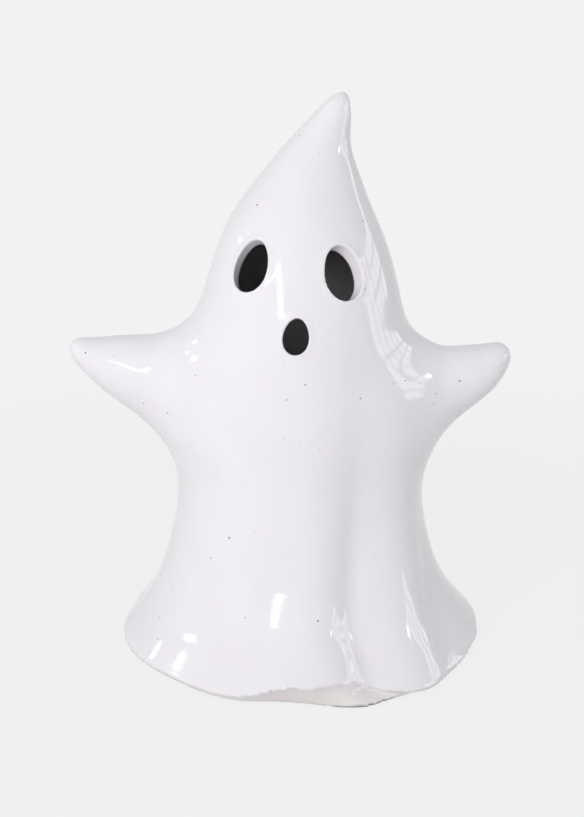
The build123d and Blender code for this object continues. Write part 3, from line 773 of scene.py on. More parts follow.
def even_out(points: np.ndarray, faces: np.ndarray, share: float = 0.5) -> np.ndarray:
    """Draws each point towards the middle of its neighbours.

    Args:
        points: The net's points.
        faces: Its four-sided faces.
        share: How far to go.

    Returns:
        The moved points.
    """
    total = np.zeros_like(points)
    count = np.zeros((len(points), 1))
    for corner in range(4):
        here, other = faces[:, corner], faces[:, (corner + 1) % 4]
        for start, end in ((here, other), (other, here)):
            np.add.at(total, start, points[end])
            np.add.at(count, start, 1.0)
    return points + share * (total / np.maximum(count, 1.0) - points)


@dataclass
class GhostFigure:
    """The glazed casting: a fine net over its shape, finer round the holes of the face."""

    form: CeramicForm = field(default_factory=CeramicForm)
    cell: float = 1.75
    quick_cell: float = 2.6
    margin: float = 4.0
    even_rounds: int = 3
    finer_within: float = 5.0
    finer_rounds: int = 2

    def build(self, finish: "GlazeFinish") -> None:
        """Builds the casting and glazes it.

        Args:
            finish: The glaze.
        """
        half_depth = self.form.hem_depth / 2 + self.margin
        low = (-self.form.left_reach - self.margin, -half_depth, -self.margin)
        high = (self.form.right_reach + self.margin, half_depth, self.form.height + self.margin)
        cell = self.cell
        points, faces = SkinNet(self.form.depth, low, high, cell).lay()
        for _ in range(self.even_rounds):
            points = settle(self.form.depth, even_out(points, faces))
        mesh = bpy.data.meshes.new("ghost_casting")
        mesh.from_pydata(points.tolist(), [], faces.tolist())
        for _ in range(self.finer_rounds):
            self.refine(mesh)
        self.finish_skin(mesh)
        mesh.materials.append(finish.material())
        add_piece("ghost_casting", mesh, Body.GHOST, ["ghost_shell"])

    def refine(self, mesh: Mesh) -> None:
        """Divides the faces near the rims of the holes.

        Args:
            mesh: The casting's mesh, in millimetres.
        """
        points = self.points_of(mesh)
        near = np.full(len(points), np.inf)
        for aimed in self.form.holes:
            near = np.minimum(near, np.abs(self.form.hole_depth(aimed, points.T)))
        close = (near < self.finer_within) & (self.form.skin_depth(points.T) > -self.form.wall - 2.0)
        net = bmesh.new()
        net.from_mesh(mesh)
        net.verts.ensure_lookup_table()
        edges = [edge for edge in net.edges if close[edge.verts[0].index] and close[edge.verts[1].index]]
        bmesh.ops.subdivide_edges(net, edges=edges, cuts=1, use_grid_fill=True)
        bmesh.ops.triangulate(net, faces=[face for face in net.faces if len(face.verts) > 4])
        net.to_mesh(mesh)
        net.free()
        points = settle(self.form.depth, self.points_of(mesh))
        mesh.vertices.foreach_set("co", points.ravel())

    @staticmethod
    def points_of(mesh: Mesh) -> np.ndarray:
        """Reads a mesh's points.

        Args:
            mesh: The mesh.

        Returns:
            The points as rows of three numbers.
        """
        flat = np.zeros(len(mesh.vertices) * 3)
        mesh.vertices.foreach_get("co", flat)
        return flat.reshape(-1, 3)

    def finish_skin(self, mesh: Mesh) -> None:
        """Marks the bare clay under the foot and the painted shade in the hollow and under the hem's lip,
        smooths the shading and puts the mesh in its place.

        Args:
            mesh: The casting's mesh, in millimetres.
        """
        points = self.points_of(mesh)
        normals = uphill(self.form.depth, points)
        normals /= np.maximum(np.linalg.norm(normals, axis=1), 1e-6)[:, None]
        skin = self.form.skin_depth(points.T)
        # Painted shade: the inside of the hollow gets the darker clay colour, for the shade that falls in it;
        # the foot and its recess are bare clay.
        hollow = ease(-skin, self.form.wall * 0.75, self.form.wall * 0.98)
        foot = ease(-points[:, 2], -self.form.foot - 0.5, -self.form.foot - 0.1)
        recess = np.hypot(points[:, 0], points[:, 1]) < self.form.recess_radius + 0.4
        foot = np.maximum(foot, recess * hollow)
        store_values(mesh, "bare_foot_and_hollow_shade", np.maximum(hollow, foot))
        # Painted shade: points on the underside of the hem's lip get a darker colour, for the shade that
        # falls under the lip.
        turn = np.degrees(np.arctan2(points[:, 0], -points[:, 1]))
        level = self.form.level_under(turn, points[:, 2])
        lip = self.form.foot + self.form.roll
        store_values(mesh, "painted_hem_shade", 1.0 - ease(level, lip - 0.9, lip + 0.1))
        placed = (points + np.array([FOOT_AXIS, 0.0, 0.0])) * MM
        mesh.vertices.foreach_set("co", placed.ravel())
        mesh.polygons.foreach_set("use_smooth", np.ones(len(mesh.polygons), bool))
        mesh.update()
        mesh.normals_split_custom_set_from_vertices(normals.tolist())


def new_group(
    name: str,
    inputs: dict[str, float],
    outputs: Sequence[str],
) -> tuple[NodeTree, Node, Node]:
    """Starts a shader group.

    Args:
        name: The group's name.
        inputs: Its number inputs and their usual values.
        outputs: Its number outputs.

    Returns:
        The group, its input node and its output node.
    """
    tree = bpy.data.node_groups.new(name, "ShaderNodeTree")
    for label, value in inputs.items():
        socket = tree.interface.new_socket(label, in_out="INPUT", socket_type="NodeSocketFloat")
        socket.default_value = value
    for label in outputs:
        tree.interface.new_socket(label, in_out="OUTPUT", socket_type="NodeSocketFloat")
    return tree, tree.nodes.new("NodeGroupInput"), tree.nodes.new("NodeGroupOutput")


def wire(tree: NodeTree, start: NodeSocket, end: NodeSocket) -> None:
    """Links two sockets."""
    tree.links.new(start, end)


def sum_node(
    tree: NodeTree,
    operation: str,
    first: object,
    second: object = 0.0,
    third: object = 0.0,
) -> NodeSocket:
    """Adds one step of arithmetic.

    Args:
        tree: The tree to add it to.
        operation: The step, as the Math node names it.
        first: A socket or a number.
        second: A socket or a number.
        third: A socket or a number.

    Returns:
        The result's socket.
    """
    node = tree.nodes.new("ShaderNodeMath")
    node.operation = operation
    for socket, value in zip(node.inputs, (first, second, third)):
        if isinstance(value, NodeSocket):
            wire(tree, value, socket)
        else:
            socket.default_value = value
    return node.outputs[0]


def ramp_node(
    tree: NodeTree,
    value: NodeSocket,
    start: object,
    end: object,
) -> NodeSocket:
    """Turns a value into a smooth mask.

    Args:
        tree: The tree to add it to.
        value: The value's socket.
        start: Where the mask is nothing, as a socket or a number.
        end: Where it is full.

    Returns:
        The mask's socket.
    """
    node = tree.nodes.new("ShaderNodeMapRange")
    node.interpolation_type = "SMOOTHSTEP"
    wire(tree, value, node.inputs["Value"])
    for label, edge in (("From Min", start), ("From Max", end)):
        if isinstance(edge, NodeSocket):
            wire(tree, edge, node.inputs[label])
        else:
            node.inputs[label].default_value = edge
    return node.outputs["Result"]


def mix_node(tree: NodeTree, mask: object, first: object, second: object) -> NodeSocket:
    """Mixes two colours.

    Args:
        tree: The tree to add it to.
        mask: How much of the second, as a socket or a number.
        first: A colour socket or a colour.
        second: A colour socket or a colour.

    Returns:
        The mixed colour's socket.
    """
    node = tree.nodes.new("ShaderNodeMix")
    node.data_type = "RGBA"
    colours = [socket for socket in node.inputs if socket.type == "RGBA"]
    for socket, value in zip([node.inputs[0]] + colours, (mask, first, second)):
        if isinstance(value, NodeSocket):
            wire(tree, value, socket)
        elif isinstance(value, tuple):
            socket.default_value = (*value, 1.0)
        else:
            socket.default_value = value
    return next(socket for socket in node.outputs if socket.type == "RGBA")


def attribute_node(tree: NodeTree, name: str) -> NodeSocket:
    """Reads a number that the mesh keeps for each point.

    Args:
        tree: The tree to add the node to.
        name: What the number is called.

    Returns:
        The number's socket.
    """
    node = tree.nodes.new("ShaderNodeAttribute")
    node.attribute_name = name
    return node.outputs["Fac"]


def grey_node(tree: NodeTree, kind: str, grey: float) -> NodeSocket:
    """Adds a plain shader of one grey.

    Args:
        tree: The tree to add it to.
        kind: The shader's kind of node.
        grey: How light it is.

    Returns:
        The shader's socket.
    """
    node = tree.nodes.new(kind)
    node.inputs["Color"].default_value = (grey, grey, grey, 1.0)
    return node.outputs[0]


def mix_shaders(tree: NodeTree, *parts: NodeSocket) -> NodeSocket:
    """Mixes two shaders.

    Args:
        tree: The tree to add the mix to.
        parts: The mask, the first shader and the second.

    Returns:
        The mix's socket.
    """
    node = tree.nodes.new("ShaderNodeMixShader")
    for socket, part in zip(node.inputs, parts):
        wire(tree, part, socket)
    return node.outputs[0]


class Effects:
    """Surface effects that several finishes share, each built once as a node group."""

    _made: dict[str, NodeTree] = {}

    @classmethod
    def grain(cls) -> NodeTree:
        """Gives the group for fine even grain, with a broad unevenness.

        Returns:
            The group.
        """
        if "grain" in cls._made:
            return cls._made["grain"]
        inputs = {"Fine Scale": 900.0, "Broad Scale": 40.0}
        tree, start, end = new_group("surface_grain", inputs, ["Fine", "Broad"])
        place = tree.nodes.new("ShaderNodeTexCoord")
        for label, detail in (("Fine", 3.0), ("Broad", 1.0)):
            noise = tree.nodes.new("ShaderNodeTexNoise")
            noise.inputs["Detail"].default_value = detail
            wire(tree, place.outputs["Object"], noise.inputs["Vector"])
            wire(tree, start.outputs[label + " Scale"], noise.inputs["Scale"])
            wire(tree, noise.outputs["Fac"], end.inputs[label])
        cls._made["grain"] = tree
        return tree

    @classmethod
    def specks(cls) -> NodeTree:
        """Gives the group for sparse round specks of uneven size.

        Returns:
            The group.
        """
        if "specks" in cls._made:
            return cls._made["specks"]
        inputs = {"Scale": 170.0, "Largest": 0.09, "Sparse": 0.5}
        tree, start, end = new_group("sparse_specks", inputs, ["Specks"])
        place = tree.nodes.new("ShaderNodeTexCoord")
        cells = tree.nodes.new("ShaderNodeTexVoronoi")
        wire(tree, place.outputs["Object"], cells.inputs["Vector"])
        wire(tree, start.outputs["Scale"], cells.inputs["Scale"])
        chance = tree.nodes.new("ShaderNodeSeparateColor")
        wire(tree, cells.outputs["Color"], chance.inputs[0])
        kept = sum_node(tree, "GREATER_THAN", chance.outputs[0], start.outputs["Sparse"])
        size = sum_node(tree, "MULTIPLY_ADD", chance.outputs[1], 0.7, 0.3)
        size = sum_node(tree, "MULTIPLY", size, start.outputs["Largest"])
        core = sum_node(tree, "MULTIPLY", size, 0.55)
        spot = ramp_node(tree, cells.outputs["Distance"], size, core)
        wire(tree, sum_node(tree, "MULTIPLY", spot, kept), end.inputs["Specks"])
        cls._made["specks"] = tree
        return tree

    @staticmethod
    def use(tree: NodeTree, group: NodeTree, **values: float) -> Node:
        """Places a group in a material with its own values.

        Args:
            tree: The material's tree.
            group: The group.
            values: Its inputs, with underscores for spaces.

        Returns:
            The placed group.
        """
        node = tree.nodes.new("ShaderNodeGroup")
        node.node_tree = group
        for label, value in values.items():
            node.inputs[label.replace("_", " ")].default_value = value
        return node


def start_material(name: str) -> tuple[Material, NodeTree, Node]:
    """Starts a material.

    Args:
        name: Its name.

    Returns:
        The material, its tree and its shader.
    """
    material = bpy.data.materials.new(name)
    material.use_nodes = True
    tree = material.node_tree
    return material, tree, tree.nodes["Principled BSDF"]


def set_bump(
    tree: NodeTree,
    shader: Node,
    height: NodeSocket,
    deep: float,
) -> None:
    """Raises a surface by a value.

    Args:
        tree: The material's tree.
        shader: Its shader.
        height: The value.
        deep: How far a value of one raises it, in metres.
    """
    bump = tree.nodes.new("ShaderNodeBump")
    bump.inputs["Distance"].default_value = deep
    bump.inputs["Strength"].default_value = 1.0
    wire(tree, height, bump.inputs["Height"])
    wire(tree, bump.outputs["Normal"], shader.inputs["Normal"])


@dataclass(frozen=True)
class GlazeFinish:
    """Glossy white glaze with sparse iron specks and bare clay under the foot, with painted shade as darker
    clay in the hollow and a darker colour under the hem's lip.
    """

    white: Colour = (0.845, 0.822, 0.868)
    warm: Colour = (0.838, 0.812, 0.850)
    speck: Colour = (0.10, 0.075, 0.06)
    # Painted shade under the hem's lip, darker and warmer than the glaze.
    hem_shade: Colour = (0.815, 0.770, 0.765)
    # Bare clay under the foot; in the hollow this darker colour is painted shade.
    clay_and_hollow_shade: Colour = (0.46, 0.43, 0.45)
    gloss: float = 0.07
    clay_roughness: float = 0.75

    def material(self) -> Material:
        """Makes the glaze's material.

        Returns:
            The material.
        """
        material, tree, shader = start_material("white_glaze")
        grain = Effects.use(tree, Effects.grain(), Fine_Scale=420.0, Broad_Scale=55.0)
        specks = Effects.use(tree, Effects.specks(), Scale=170.0, Largest=0.085, Sparse=0.55)
        bare = attribute_node(tree, "bare_foot_and_hollow_shade")
        pooled = ramp_node(tree, grain.outputs["Broad"], 0.62, 0.30)
        tint = mix_node(tree, pooled, self.white, self.warm)
        # Painted shade: the darker colour under the hem's lip.
        tint = mix_node(tree, attribute_node(tree, "painted_hem_shade"), tint, self.hem_shade)
        dotted = mix_node(tree, specks.outputs["Specks"], tint, self.speck)
        # Bare clay under the foot, and painted shade as darker clay in the hollow.
        wire(tree, mix_node(tree, bare, dotted, self.clay_and_hollow_shade), shader.inputs["Base Color"])
        uneven = sum_node(tree, "MULTIPLY_ADD", grain.outputs["Fine"], 0.05, self.gloss - 0.025)
        rough = sum_node(tree, "MULTIPLY_ADD", bare, self.clay_roughness - self.gloss, uneven)
        wire(tree, rough, shader.inputs["Roughness"])
        shader.inputs["IOR"].default_value = 1.5
        peel = sum_node(tree, "MULTIPLY_ADD", grain.outputs["Fine"], 0.06, grain.outputs["Broad"])
        set_bump(tree, shader, peel, 0.00012)
        return material


@dataclass(frozen=True)
class MouldedFinish:
    """Moulded plastic, rubber or clay of one colour, with fine grain and faint unevenness."""

    name: str
    colour: Colour
    roughness: float = 0.42
    grain: float = 1200.0
    deep: float = 0.00003
    tone: float = 0.06
    see_through: float = 0.0
    metallic: float = 0.0

    def material(self) -> Material:
        """Makes the finish's material.

        Returns:
            The material.
        """
        material, tree, shader = start_material(self.name)
        grain = Effects.use(tree, Effects.grain(), Fine_Scale=self.grain, Broad_Scale=60.0)
        darker = tuple(part * (1.0 - 2.0 * self.tone) for part in self.colour)
        colour = mix_node(tree, ramp_node(tree, grain.outputs["Broad"], 0.35, 0.65), self.colour, darker)
        wire(tree, colour, shader.inputs["Base Color"])
        rough = sum_node(tree, "MULTIPLY_ADD", grain.outputs["Fine"], 0.16, self.roughness - 0.08)
        wire(tree, rough, shader.inputs["Roughness"])
        shader.inputs["Metallic"].default_value = self.metallic
        shader.inputs["Transmission Weight"].default_value = self.see_through
        set_bump(tree, shader, grain.outputs["Fine"], self.deep)
        return material


@dataclass(frozen=True)
class CellFinish:
    """A plain shrink-wrapped cell: dark jacket, copper-coloured shoulder and bare metal ends."""

    jacket: Colour = (0.035, 0.037, 0.042)
    shoulder: Colour = (0.62, 0.34, 0.16)
    metal: Colour = (0.70, 0.69, 0.67)

    def material(self) -> Material:
        """Makes the cell's material.

        Returns:
            The material.
        """
        material, tree, shader = start_material("cell_wrap")
        grain = Effects.use(tree, Effects.grain(), Fine_Scale=800.0, Broad_Scale=90.0)
        bare = attribute_node(tree, "bare_metal")
        copper = ramp_node(tree, attribute_node(tree, "along"), 0.715, 0.72)
        wrap = mix_node(tree, copper, self.jacket, self.shoulder)
        wire(tree, mix_node(tree, bare, wrap, self.metal), shader.inputs["Base Color"])
        shine = sum_node(tree, "MAXIMUM", bare, sum_node(tree, "MULTIPLY", copper, 0.6))
        wire(tree, shine, shader.inputs["Metallic"])
        rough = sum_node(tree, "MULTIPLY_ADD", grain.outputs["Fine"], 0.14, 0.2)
        wire(tree, rough, shader.inputs["Roughness"])
        set_bump(tree, shader, grain.outputs["Broad"], 0.00006)
        return material


FINISHES: dict[Slot, MouldedFinish] = {
    Slot.FELT: MouldedFinish("felt_pad", (0.30, 0.29, 0.28), 0.95, 2600.0, 0.0002, 0.15),
    Slot.CASE: MouldedFinish("white_case_plastic", (0.80, 0.79, 0.76), 0.45, 1500.0, 0.00004),
    Slot.SILICONE: MouldedFinish("clear_grey_silicone", (0.62, 0.63, 0.63), 0.55, 700.0, 0.00003),
    Slot.CONTACT: MouldedFinish("nickel_contacts", (0.72, 0.69, 0.63), 0.30, 1600.0, 0.00001, 0.05, 0.0, 1.0),
    Slot.SCREW: MouldedFinish("zinc_screws", (0.58, 0.58, 0.60), 0.34, 1600.0, 0.00002, 0.08, 0.0, 1.0),
    Slot.BOARD: MouldedFinish("green_board", (0.02, 0.17, 0.06), 0.35, 1800.0, 0.00003, 0.12),
    Slot.LENS: MouldedFinish("clear_lens", (0.93, 0.90, 0.80), 0.12, 300.0, 0.00001, 0.01, 0.85),
    Slot.BLACK: MouldedFinish("black_parts", (0.03, 0.03, 0.032), 0.48, 1500.0, 0.00004),
    Slot.RESISTOR: MouldedFinish("resistor_clay", (0.62, 0.47, 0.30), 0.5, 1200.0, 0.00003),
    Slot.FROSTED: MouldedFinish("frosted_dome", (0.88, 0.87, 0.84), 0.6, 900.0, 0.00003, 0.02, 0.35),
    Slot.RED: MouldedFinish("red_sheath", (0.55, 0.03, 0.025), 0.4, 900.0, 0.00002),
    Slot.DARK: MouldedFinish("black_sheath", (0.025, 0.025, 0.028), 0.4, 900.0, 0.00002),
    Slot.YELLOW: MouldedFinish("yellow_sheath", (0.70, 0.52, 0.06), 0.4, 900.0, 0.00002),
}


@dataclass
class Repeated:
    """Copies of one small shape on a ring or in a row, made by a node tree."""

    name: str
    layout: Layout
    bump: Bump
    count: int
    spread: float
    size: tuple[float, float, float]
    middle: tuple[float, float, float]
    start_turn: float = 0.0

    def tree(self) -> tuple[NodeTree, dict[str, object]]:
        """Builds the node tree.

        Returns:
            The tree, and the value of each of its named inputs.
        """
        tree = bpy.data.node_groups.new(self.name + "_nodes", "GeometryNodeTree")
        values: dict[str, object] = {
            "Count": self.count,
            "Spread": self.spread,
            "Size": self.size,
            "Middle": self.middle,
            "Start Turn": math.radians(self.start_turn),
        }
        kinds = {int: "NodeSocketInt", float: "NodeSocketFloat", tuple: "NodeSocketVector"}
        tree.interface.new_socket("Geometry", in_out="OUTPUT", socket_type="NodeSocketGeometry")
        for label, value in values.items():
            tree.interface.new_socket(label, in_out="INPUT", socket_type=kinds[type(value)])
        tree.interface.new_socket("Finish", in_out="INPUT", socket_type="NodeSocketMaterial")
        start, end = tree.nodes.new("NodeGroupInput"), tree.nodes.new("NodeGroupOutput")
        copies = tree.nodes.new("GeometryNodeInstanceOnPoints")
        self.spots(tree, start, copies)
        if self.bump is Bump.DOME:
            shape = tree.nodes.new("GeometryNodeMeshUVSphere")
            shape.inputs["Segments"].default_value = 16
            shape.inputs["Rings"].default_value = 8
            shape.inputs["Radius"].default_value = 1.0
        else:
            shape = tree.nodes.new("GeometryNodeMeshCylinder")
            shape.inputs["Vertices"].default_value = 48
            shape.inputs["Radius"].default_value = 1.0
            shape.inputs["Depth"].default_value = 2.0
        wire(tree, shape.outputs["Mesh"], copies.inputs["Instance"])
        wire(tree, start.outputs["Size"], copies.inputs["Scale"])
        placed = tree.nodes.new("GeometryNodeTransform")
        wire(tree, copies.outputs["Instances"], placed.inputs["Geometry"])
        wire(tree, start.outputs["Middle"], placed.inputs["Translation"])
        real = tree.nodes.new("GeometryNodeRealizeInstances")
        wire(tree, placed.outputs["Geometry"], real.inputs["Geometry"])
        painted = tree.nodes.new("GeometryNodeSetMaterial")
        wire(tree, real.outputs["Geometry"], painted.inputs["Geometry"])
        wire(tree, start.outputs["Finish"], painted.inputs["Material"])
        wire(tree, painted.outputs["Geometry"], end.inputs["Geometry"])
        return tree, values

    def spots(self, tree: NodeTree, start: Node, copies: Node) -> None:
        """Adds the points that carry the copies.

        Args:
            tree: The node tree.
            start: Its input node.
            copies: The node that sets a copy on each point.
        """
        if self.layout is Layout.ROW:
            line = tree.nodes.new("GeometryNodeMeshLine")
            offset = tree.nodes.new("ShaderNodeCombineXYZ")
            wire(tree, start.outputs["Spread"], offset.inputs["X"])
            wire(tree, start.outputs["Count"], line.inputs["Count"])
            wire(tree, offset.outputs[0], line.inputs["Offset"])
            wire(tree, line.outputs["Mesh"], copies.inputs["Points"])
            return
        circle = tree.nodes.new("GeometryNodeMeshCircle")
        wire(tree, start.outputs["Count"], circle.inputs["Vertices"])
        wire(tree, start.outputs["Spread"], circle.inputs["Radius"])
        turned = tree.nodes.new("GeometryNodeTransform")
        first = tree.nodes.new("ShaderNodeCombineXYZ")
        wire(tree, start.outputs["Start Turn"], first.inputs["Z"])
        whole = tree.nodes.new("FunctionNodeEulerToRotation")
        wire(tree, first.outputs[0], whole.inputs[0])
        wire(tree, circle.outputs["Mesh"], turned.inputs["Geometry"])
        wire(tree, whole.outputs[0], turned.inputs["Rotation"])
        wire(tree, turned.outputs["Geometry"], copies.inputs["Points"])
        index = tree.nodes.new("GeometryNodeInputIndex")
        step = sum_node(tree, "DIVIDE", 2.0 * math.pi, start.outputs["Count"])
        angle = sum_node(tree, "MULTIPLY_ADD", index.outputs[0], step, start.outputs["Start Turn"])
        way = tree.nodes.new("ShaderNodeCombineXYZ")
        wire(tree, angle, way.inputs["Z"])
        facing = tree.nodes.new("FunctionNodeEulerToRotation")
        wire(tree, way.outputs[0], facing.inputs[0])
        wire(tree, facing.outputs[0], copies.inputs["Rotation"])

    def mesh(self, material: Material) -> Mesh:
        """Runs the tree and keeps its result as a plain mesh.

        Args:
            material: The finish.

        Returns:
            The mesh.
        """
        tree, values = self.tree()
        carrier = place_object(self.name + "_carrier", bpy.data.meshes.new(self.name + "_empty"))
        modifier = carrier.modifiers.new("copies", "NODES")
        modifier.node_group = tree
        for item in tree.interface.items_tree:
            if item.item_type == "SOCKET" and item.in_out == "INPUT":
                modifier[item.identifier] = values.get(item.name, material)
        graph = bpy.context.evaluated_depsgraph_get()
        mesh = bpy.data.meshes.new_from_object(carrier.evaluated_get(graph))
        carrier.modifiers.clear()
        bpy.data.objects.remove(carrier)
        mesh.name = self.name
        return mesh


def lathe(name: str, profile: Sequence[tuple[float, float]], steps: int = 48) -> Mesh:
    """Turns a closed outline about the X axis.

    Args:
        name: The mesh's name.
        profile: Places along the axis and radii, in millimetres, from one end of the axis to the other.
        steps: How many steps make a full turn.

    Returns:
        The turned solid, in millimetres.
    """
    net = bmesh.new()
    rings = []
    for along, radius in profile:
        turns = [2.0 * math.pi * step / steps for step in range(steps)] if radius > 0.0 else [0.0]
        ring = [(along, radius * math.cos(turn), radius * math.sin(turn)) for turn in turns]
        rings.append([net.verts.new(point) for point in ring])
    for before, after in zip(rings, rings[1:]):
        for step in range(steps):
            follow = (step + 1) % steps
            corners = [before[step % len(before)], before[follow % len(before)]]
            corners += [after[follow % len(after)], after[step % len(after)]]
            kept = list(dict.fromkeys(corners))
            net.faces.new(kept)
    bmesh.ops.recalc_face_normals(net, faces=net.faces)
    for face in net.faces:
        face.smooth = True
    mesh = bpy.data.meshes.new(name)
    net.to_mesh(mesh)
    net.free()
    return mesh


@dataclass
class LightPlug:
    """The battery light in the foot: finishes for its pieces, and the fine pieces that dress it."""

    flange_radius: float = 43.0
    flange_low: float = 2.7
    flange_high: float = 5.1
    rim_bumps: int = 72
    bump_size: tuple[float, float, float] = (0.5, 0.9, 0.95)
    door_ribs: int = 6
    door_rib_gap: float = 2.2
    rib_size: tuple[float, float, float] = (0.55, 5.0, 0.45)
    rib_inset: float = 8.0
    felt_count: int = 4
    felt_turn: float = 45.0
    felt_radius: float = 6.0
    felt_thickness: float = 0.6
    felt_circle: float = 59.26
    cell_radius: float = 5.25
    cell_length: float = 43.7
    nub_radius: float = 1.9
    nub_length: float = 0.8

    def build(self, materials: dict[Slot, Material]) -> None:
        """Builds the light's fine pieces and paints what stays as it is.

        Args:
            materials: The material of each finish.
        """
        self.paint(materials)
        self.felt(materials[Slot.FELT])
        self.rim(materials[Slot.CASE])
        self.ribs(materials[Slot.CASE])
        self.cells(CellFinish().material())

    def paint(self, materials: dict[Slot, Material]) -> None:
        """Gives every node of the frame its finish.

        Args:
            materials: The material of each finish.
        """
        for part in frame["record"]["subparts"]:
            slot = Slot(part["material_slot"])
            if slot in materials:
                node = frame["nodes"][part["node"]]
                node.data.materials.clear()
                node.data.materials.append(materials[slot])

    def felt(self, material: Material) -> None:
        """Sets the felt dots under the foot.

        Args:
            material: Their finish.
        """
        size = (self.felt_radius * MM, self.felt_radius * MM, self.felt_thickness / 2 * MM)
        middle = (FOOT_AXIS * MM, 0.0, self.felt_thickness / 2 * MM)
        circle = self.felt_circle * MM
        count, turn = self.felt_count, self.felt_turn
        dots = Repeated("felt_feet", Layout.RING, Bump.DISC, count, circle, size, middle, turn)
        add_piece("felt_feet", dots.mesh(material), Body.GHOST, ["felt_dots"])

    def rim(self, material: Material) -> None:
        """Sets the grip bumps round the flange's edge.

        Args:
            material: Their finish.
        """
        size = tuple(side * MM for side in self.bump_size)
        middle = (FOOT_AXIS * MM, 0.0, (self.flange_low + self.flange_high) / 2 * MM)
        spread = self.flange_radius * MM
        bumps = Repeated("flange_grip", Layout.RING, Bump.DOME, self.rim_bumps, spread, size, middle)
        add_piece("flange_grip", bumps.mesh(material), Body.LIGHT)

    def ribs(self, material: Material) -> None:
        """Sets the finger ribs on the battery door.

        Args:
            material: Their finish.
        """
        low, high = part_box("battery_door")
        length = (self.door_ribs - 1) * self.door_rib_gap * MM
        size = tuple(side * MM for side in self.rib_size)
        middle = ((low.x + high.x) / 2 - length / 2, high.y - self.rib_inset * MM, low.z)
        gap = self.door_rib_gap * MM
        ribs = Repeated("door_ribs", Layout.ROW, Bump.DOME, self.door_ribs, gap, size, middle)
        add_piece("door_ribs", ribs.mesh(material), Body.DOOR)

    def cells(self, material: Material) -> None:
        """Puts a rounded, wrapped cell in each place of the bay.

        Args:
            material: The wrap's material.
        """
        for number in (1, 2, 3):
            node = f"cell_{number}"
            low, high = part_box(node)
            mesh = self.cell_mesh(node)
            nub_right = number % 2 == 1
            turn = Matrix.Identity(4) if nub_right else Matrix.Rotation(math.pi, 4, "Z")
            mesh.transform(Matrix.Translation((low + high) / 2) @ turn @ Matrix.Scale(MM, 4))
            mesh.materials.append(material)
            add_piece(f"wrapped_cell_{number}", mesh, Body.LIGHT, [node])

    def cell_mesh(self, name: str) -> Mesh:
        """Turns one cell, its nub towards +X, about the middle of its length.

        Args:
            name: The mesh's name.

        Returns:
            The cell, in millimetres.
        """
        radius = self.cell_radius
        start = -(self.cell_length + self.nub_length) / 2
        shoulder = start + self.cell_length
        nub = shoulder + self.nub_length
        profile = [
            (start + 0.25, 0.0),
            (start + 0.25, radius - 1.6),
            (start, radius - 1.3),
            (start, radius - 0.5),
            (start + 0.15, radius - 0.15),
            (start + 0.5, radius),
            (shoulder - 0.6, radius),
            (shoulder - 0.2, radius - 0.15),
            (shoulder, radius - 0.5),
            (shoulder - 0.05, radius - 1.0),
            (shoulder - 0.3, radius - 1.15),
            (shoulder - 0.3, self.nub_radius + 0.25),
            (shoulder, self.nub_radius),
            (nub - 0.2, self.nub_radius),
            (nub, self.nub_radius - 0.25),
            (nub, 0.0),
        ]
        mesh = lathe(name + "_turned", profile)
        points = GhostFigure.points_of(mesh)
        store_values(mesh, "along", (points[:, 0] - start) / self.cell_length)
        store_values(mesh, "bare_metal", np.hypot(points[:, 1], points[:, 2]) < radius - 0.9)
        return mesh


@dataclass(frozen=True)
class SoftBox:
    """One soft light: which way it lies from the figure, how large and how strong it is."""

    name: str
    turn: float
    rise: float
    away: float
    width: float
    height: float
    power: float
    mirrored: bool = True
    lean: float = 0.0


SOFT_BOXES = (
    SoftBox("front_key", -26.0, 30.0, 1.2, 0.70, 0.70, 7.4, False),
    SoftBox("front_strip", -24.5, 20.0, 2.4, 0.20, 0.95, 2.7, True, 35.0),
    SoftBox("left_fill", -92.0, 26.0, 1.2, 0.40, 0.40, 0.7, False),
    SoftBox("left_far", -104.0, 21.0, 2.4, 0.12, 0.15, 0.45),
    SoftBox("left_near", -87.0, 20.0, 2.4, 0.18, 0.15, 0.68),
    SoftBox("left_high", -91.0, 27.0, 2.4, 0.09, 0.11, 0.25),
    SoftBox("right_spot", 77.0, 22.0, 2.4, 0.20, 0.17, 1.6),
)


@dataclass(frozen=True)
class Window:
    """A window of several panes to the right of the figure, which the glaze mirrors."""

    turn: float = 97.0
    rise: float = 11.0
    away: float = 2.4
    columns: int = 5
    rows: int = 3
    column_step: float = 8.4
    row_step: float = 6.2
    pane_width: float = 0.29
    pane_height: float = 0.21
    power: float = 0.50

    def panes(self) -> list[SoftBox]:
        """Lists the panes as soft lights.

        Returns:
            The panes.
        """
        found = []
        for column, row in itertools.product(range(self.columns), range(self.rows)):
            turn = self.turn + (column - (self.columns - 1) / 2) * self.column_step
            rise = self.rise + (row - (self.rows - 1) / 2) * self.row_step
            name = f"window_pane_{column + 1}_{row + 1}"
            found.append(SoftBox(name, turn, rise, self.away, self.pane_width, self.pane_height, self.power))
        return found


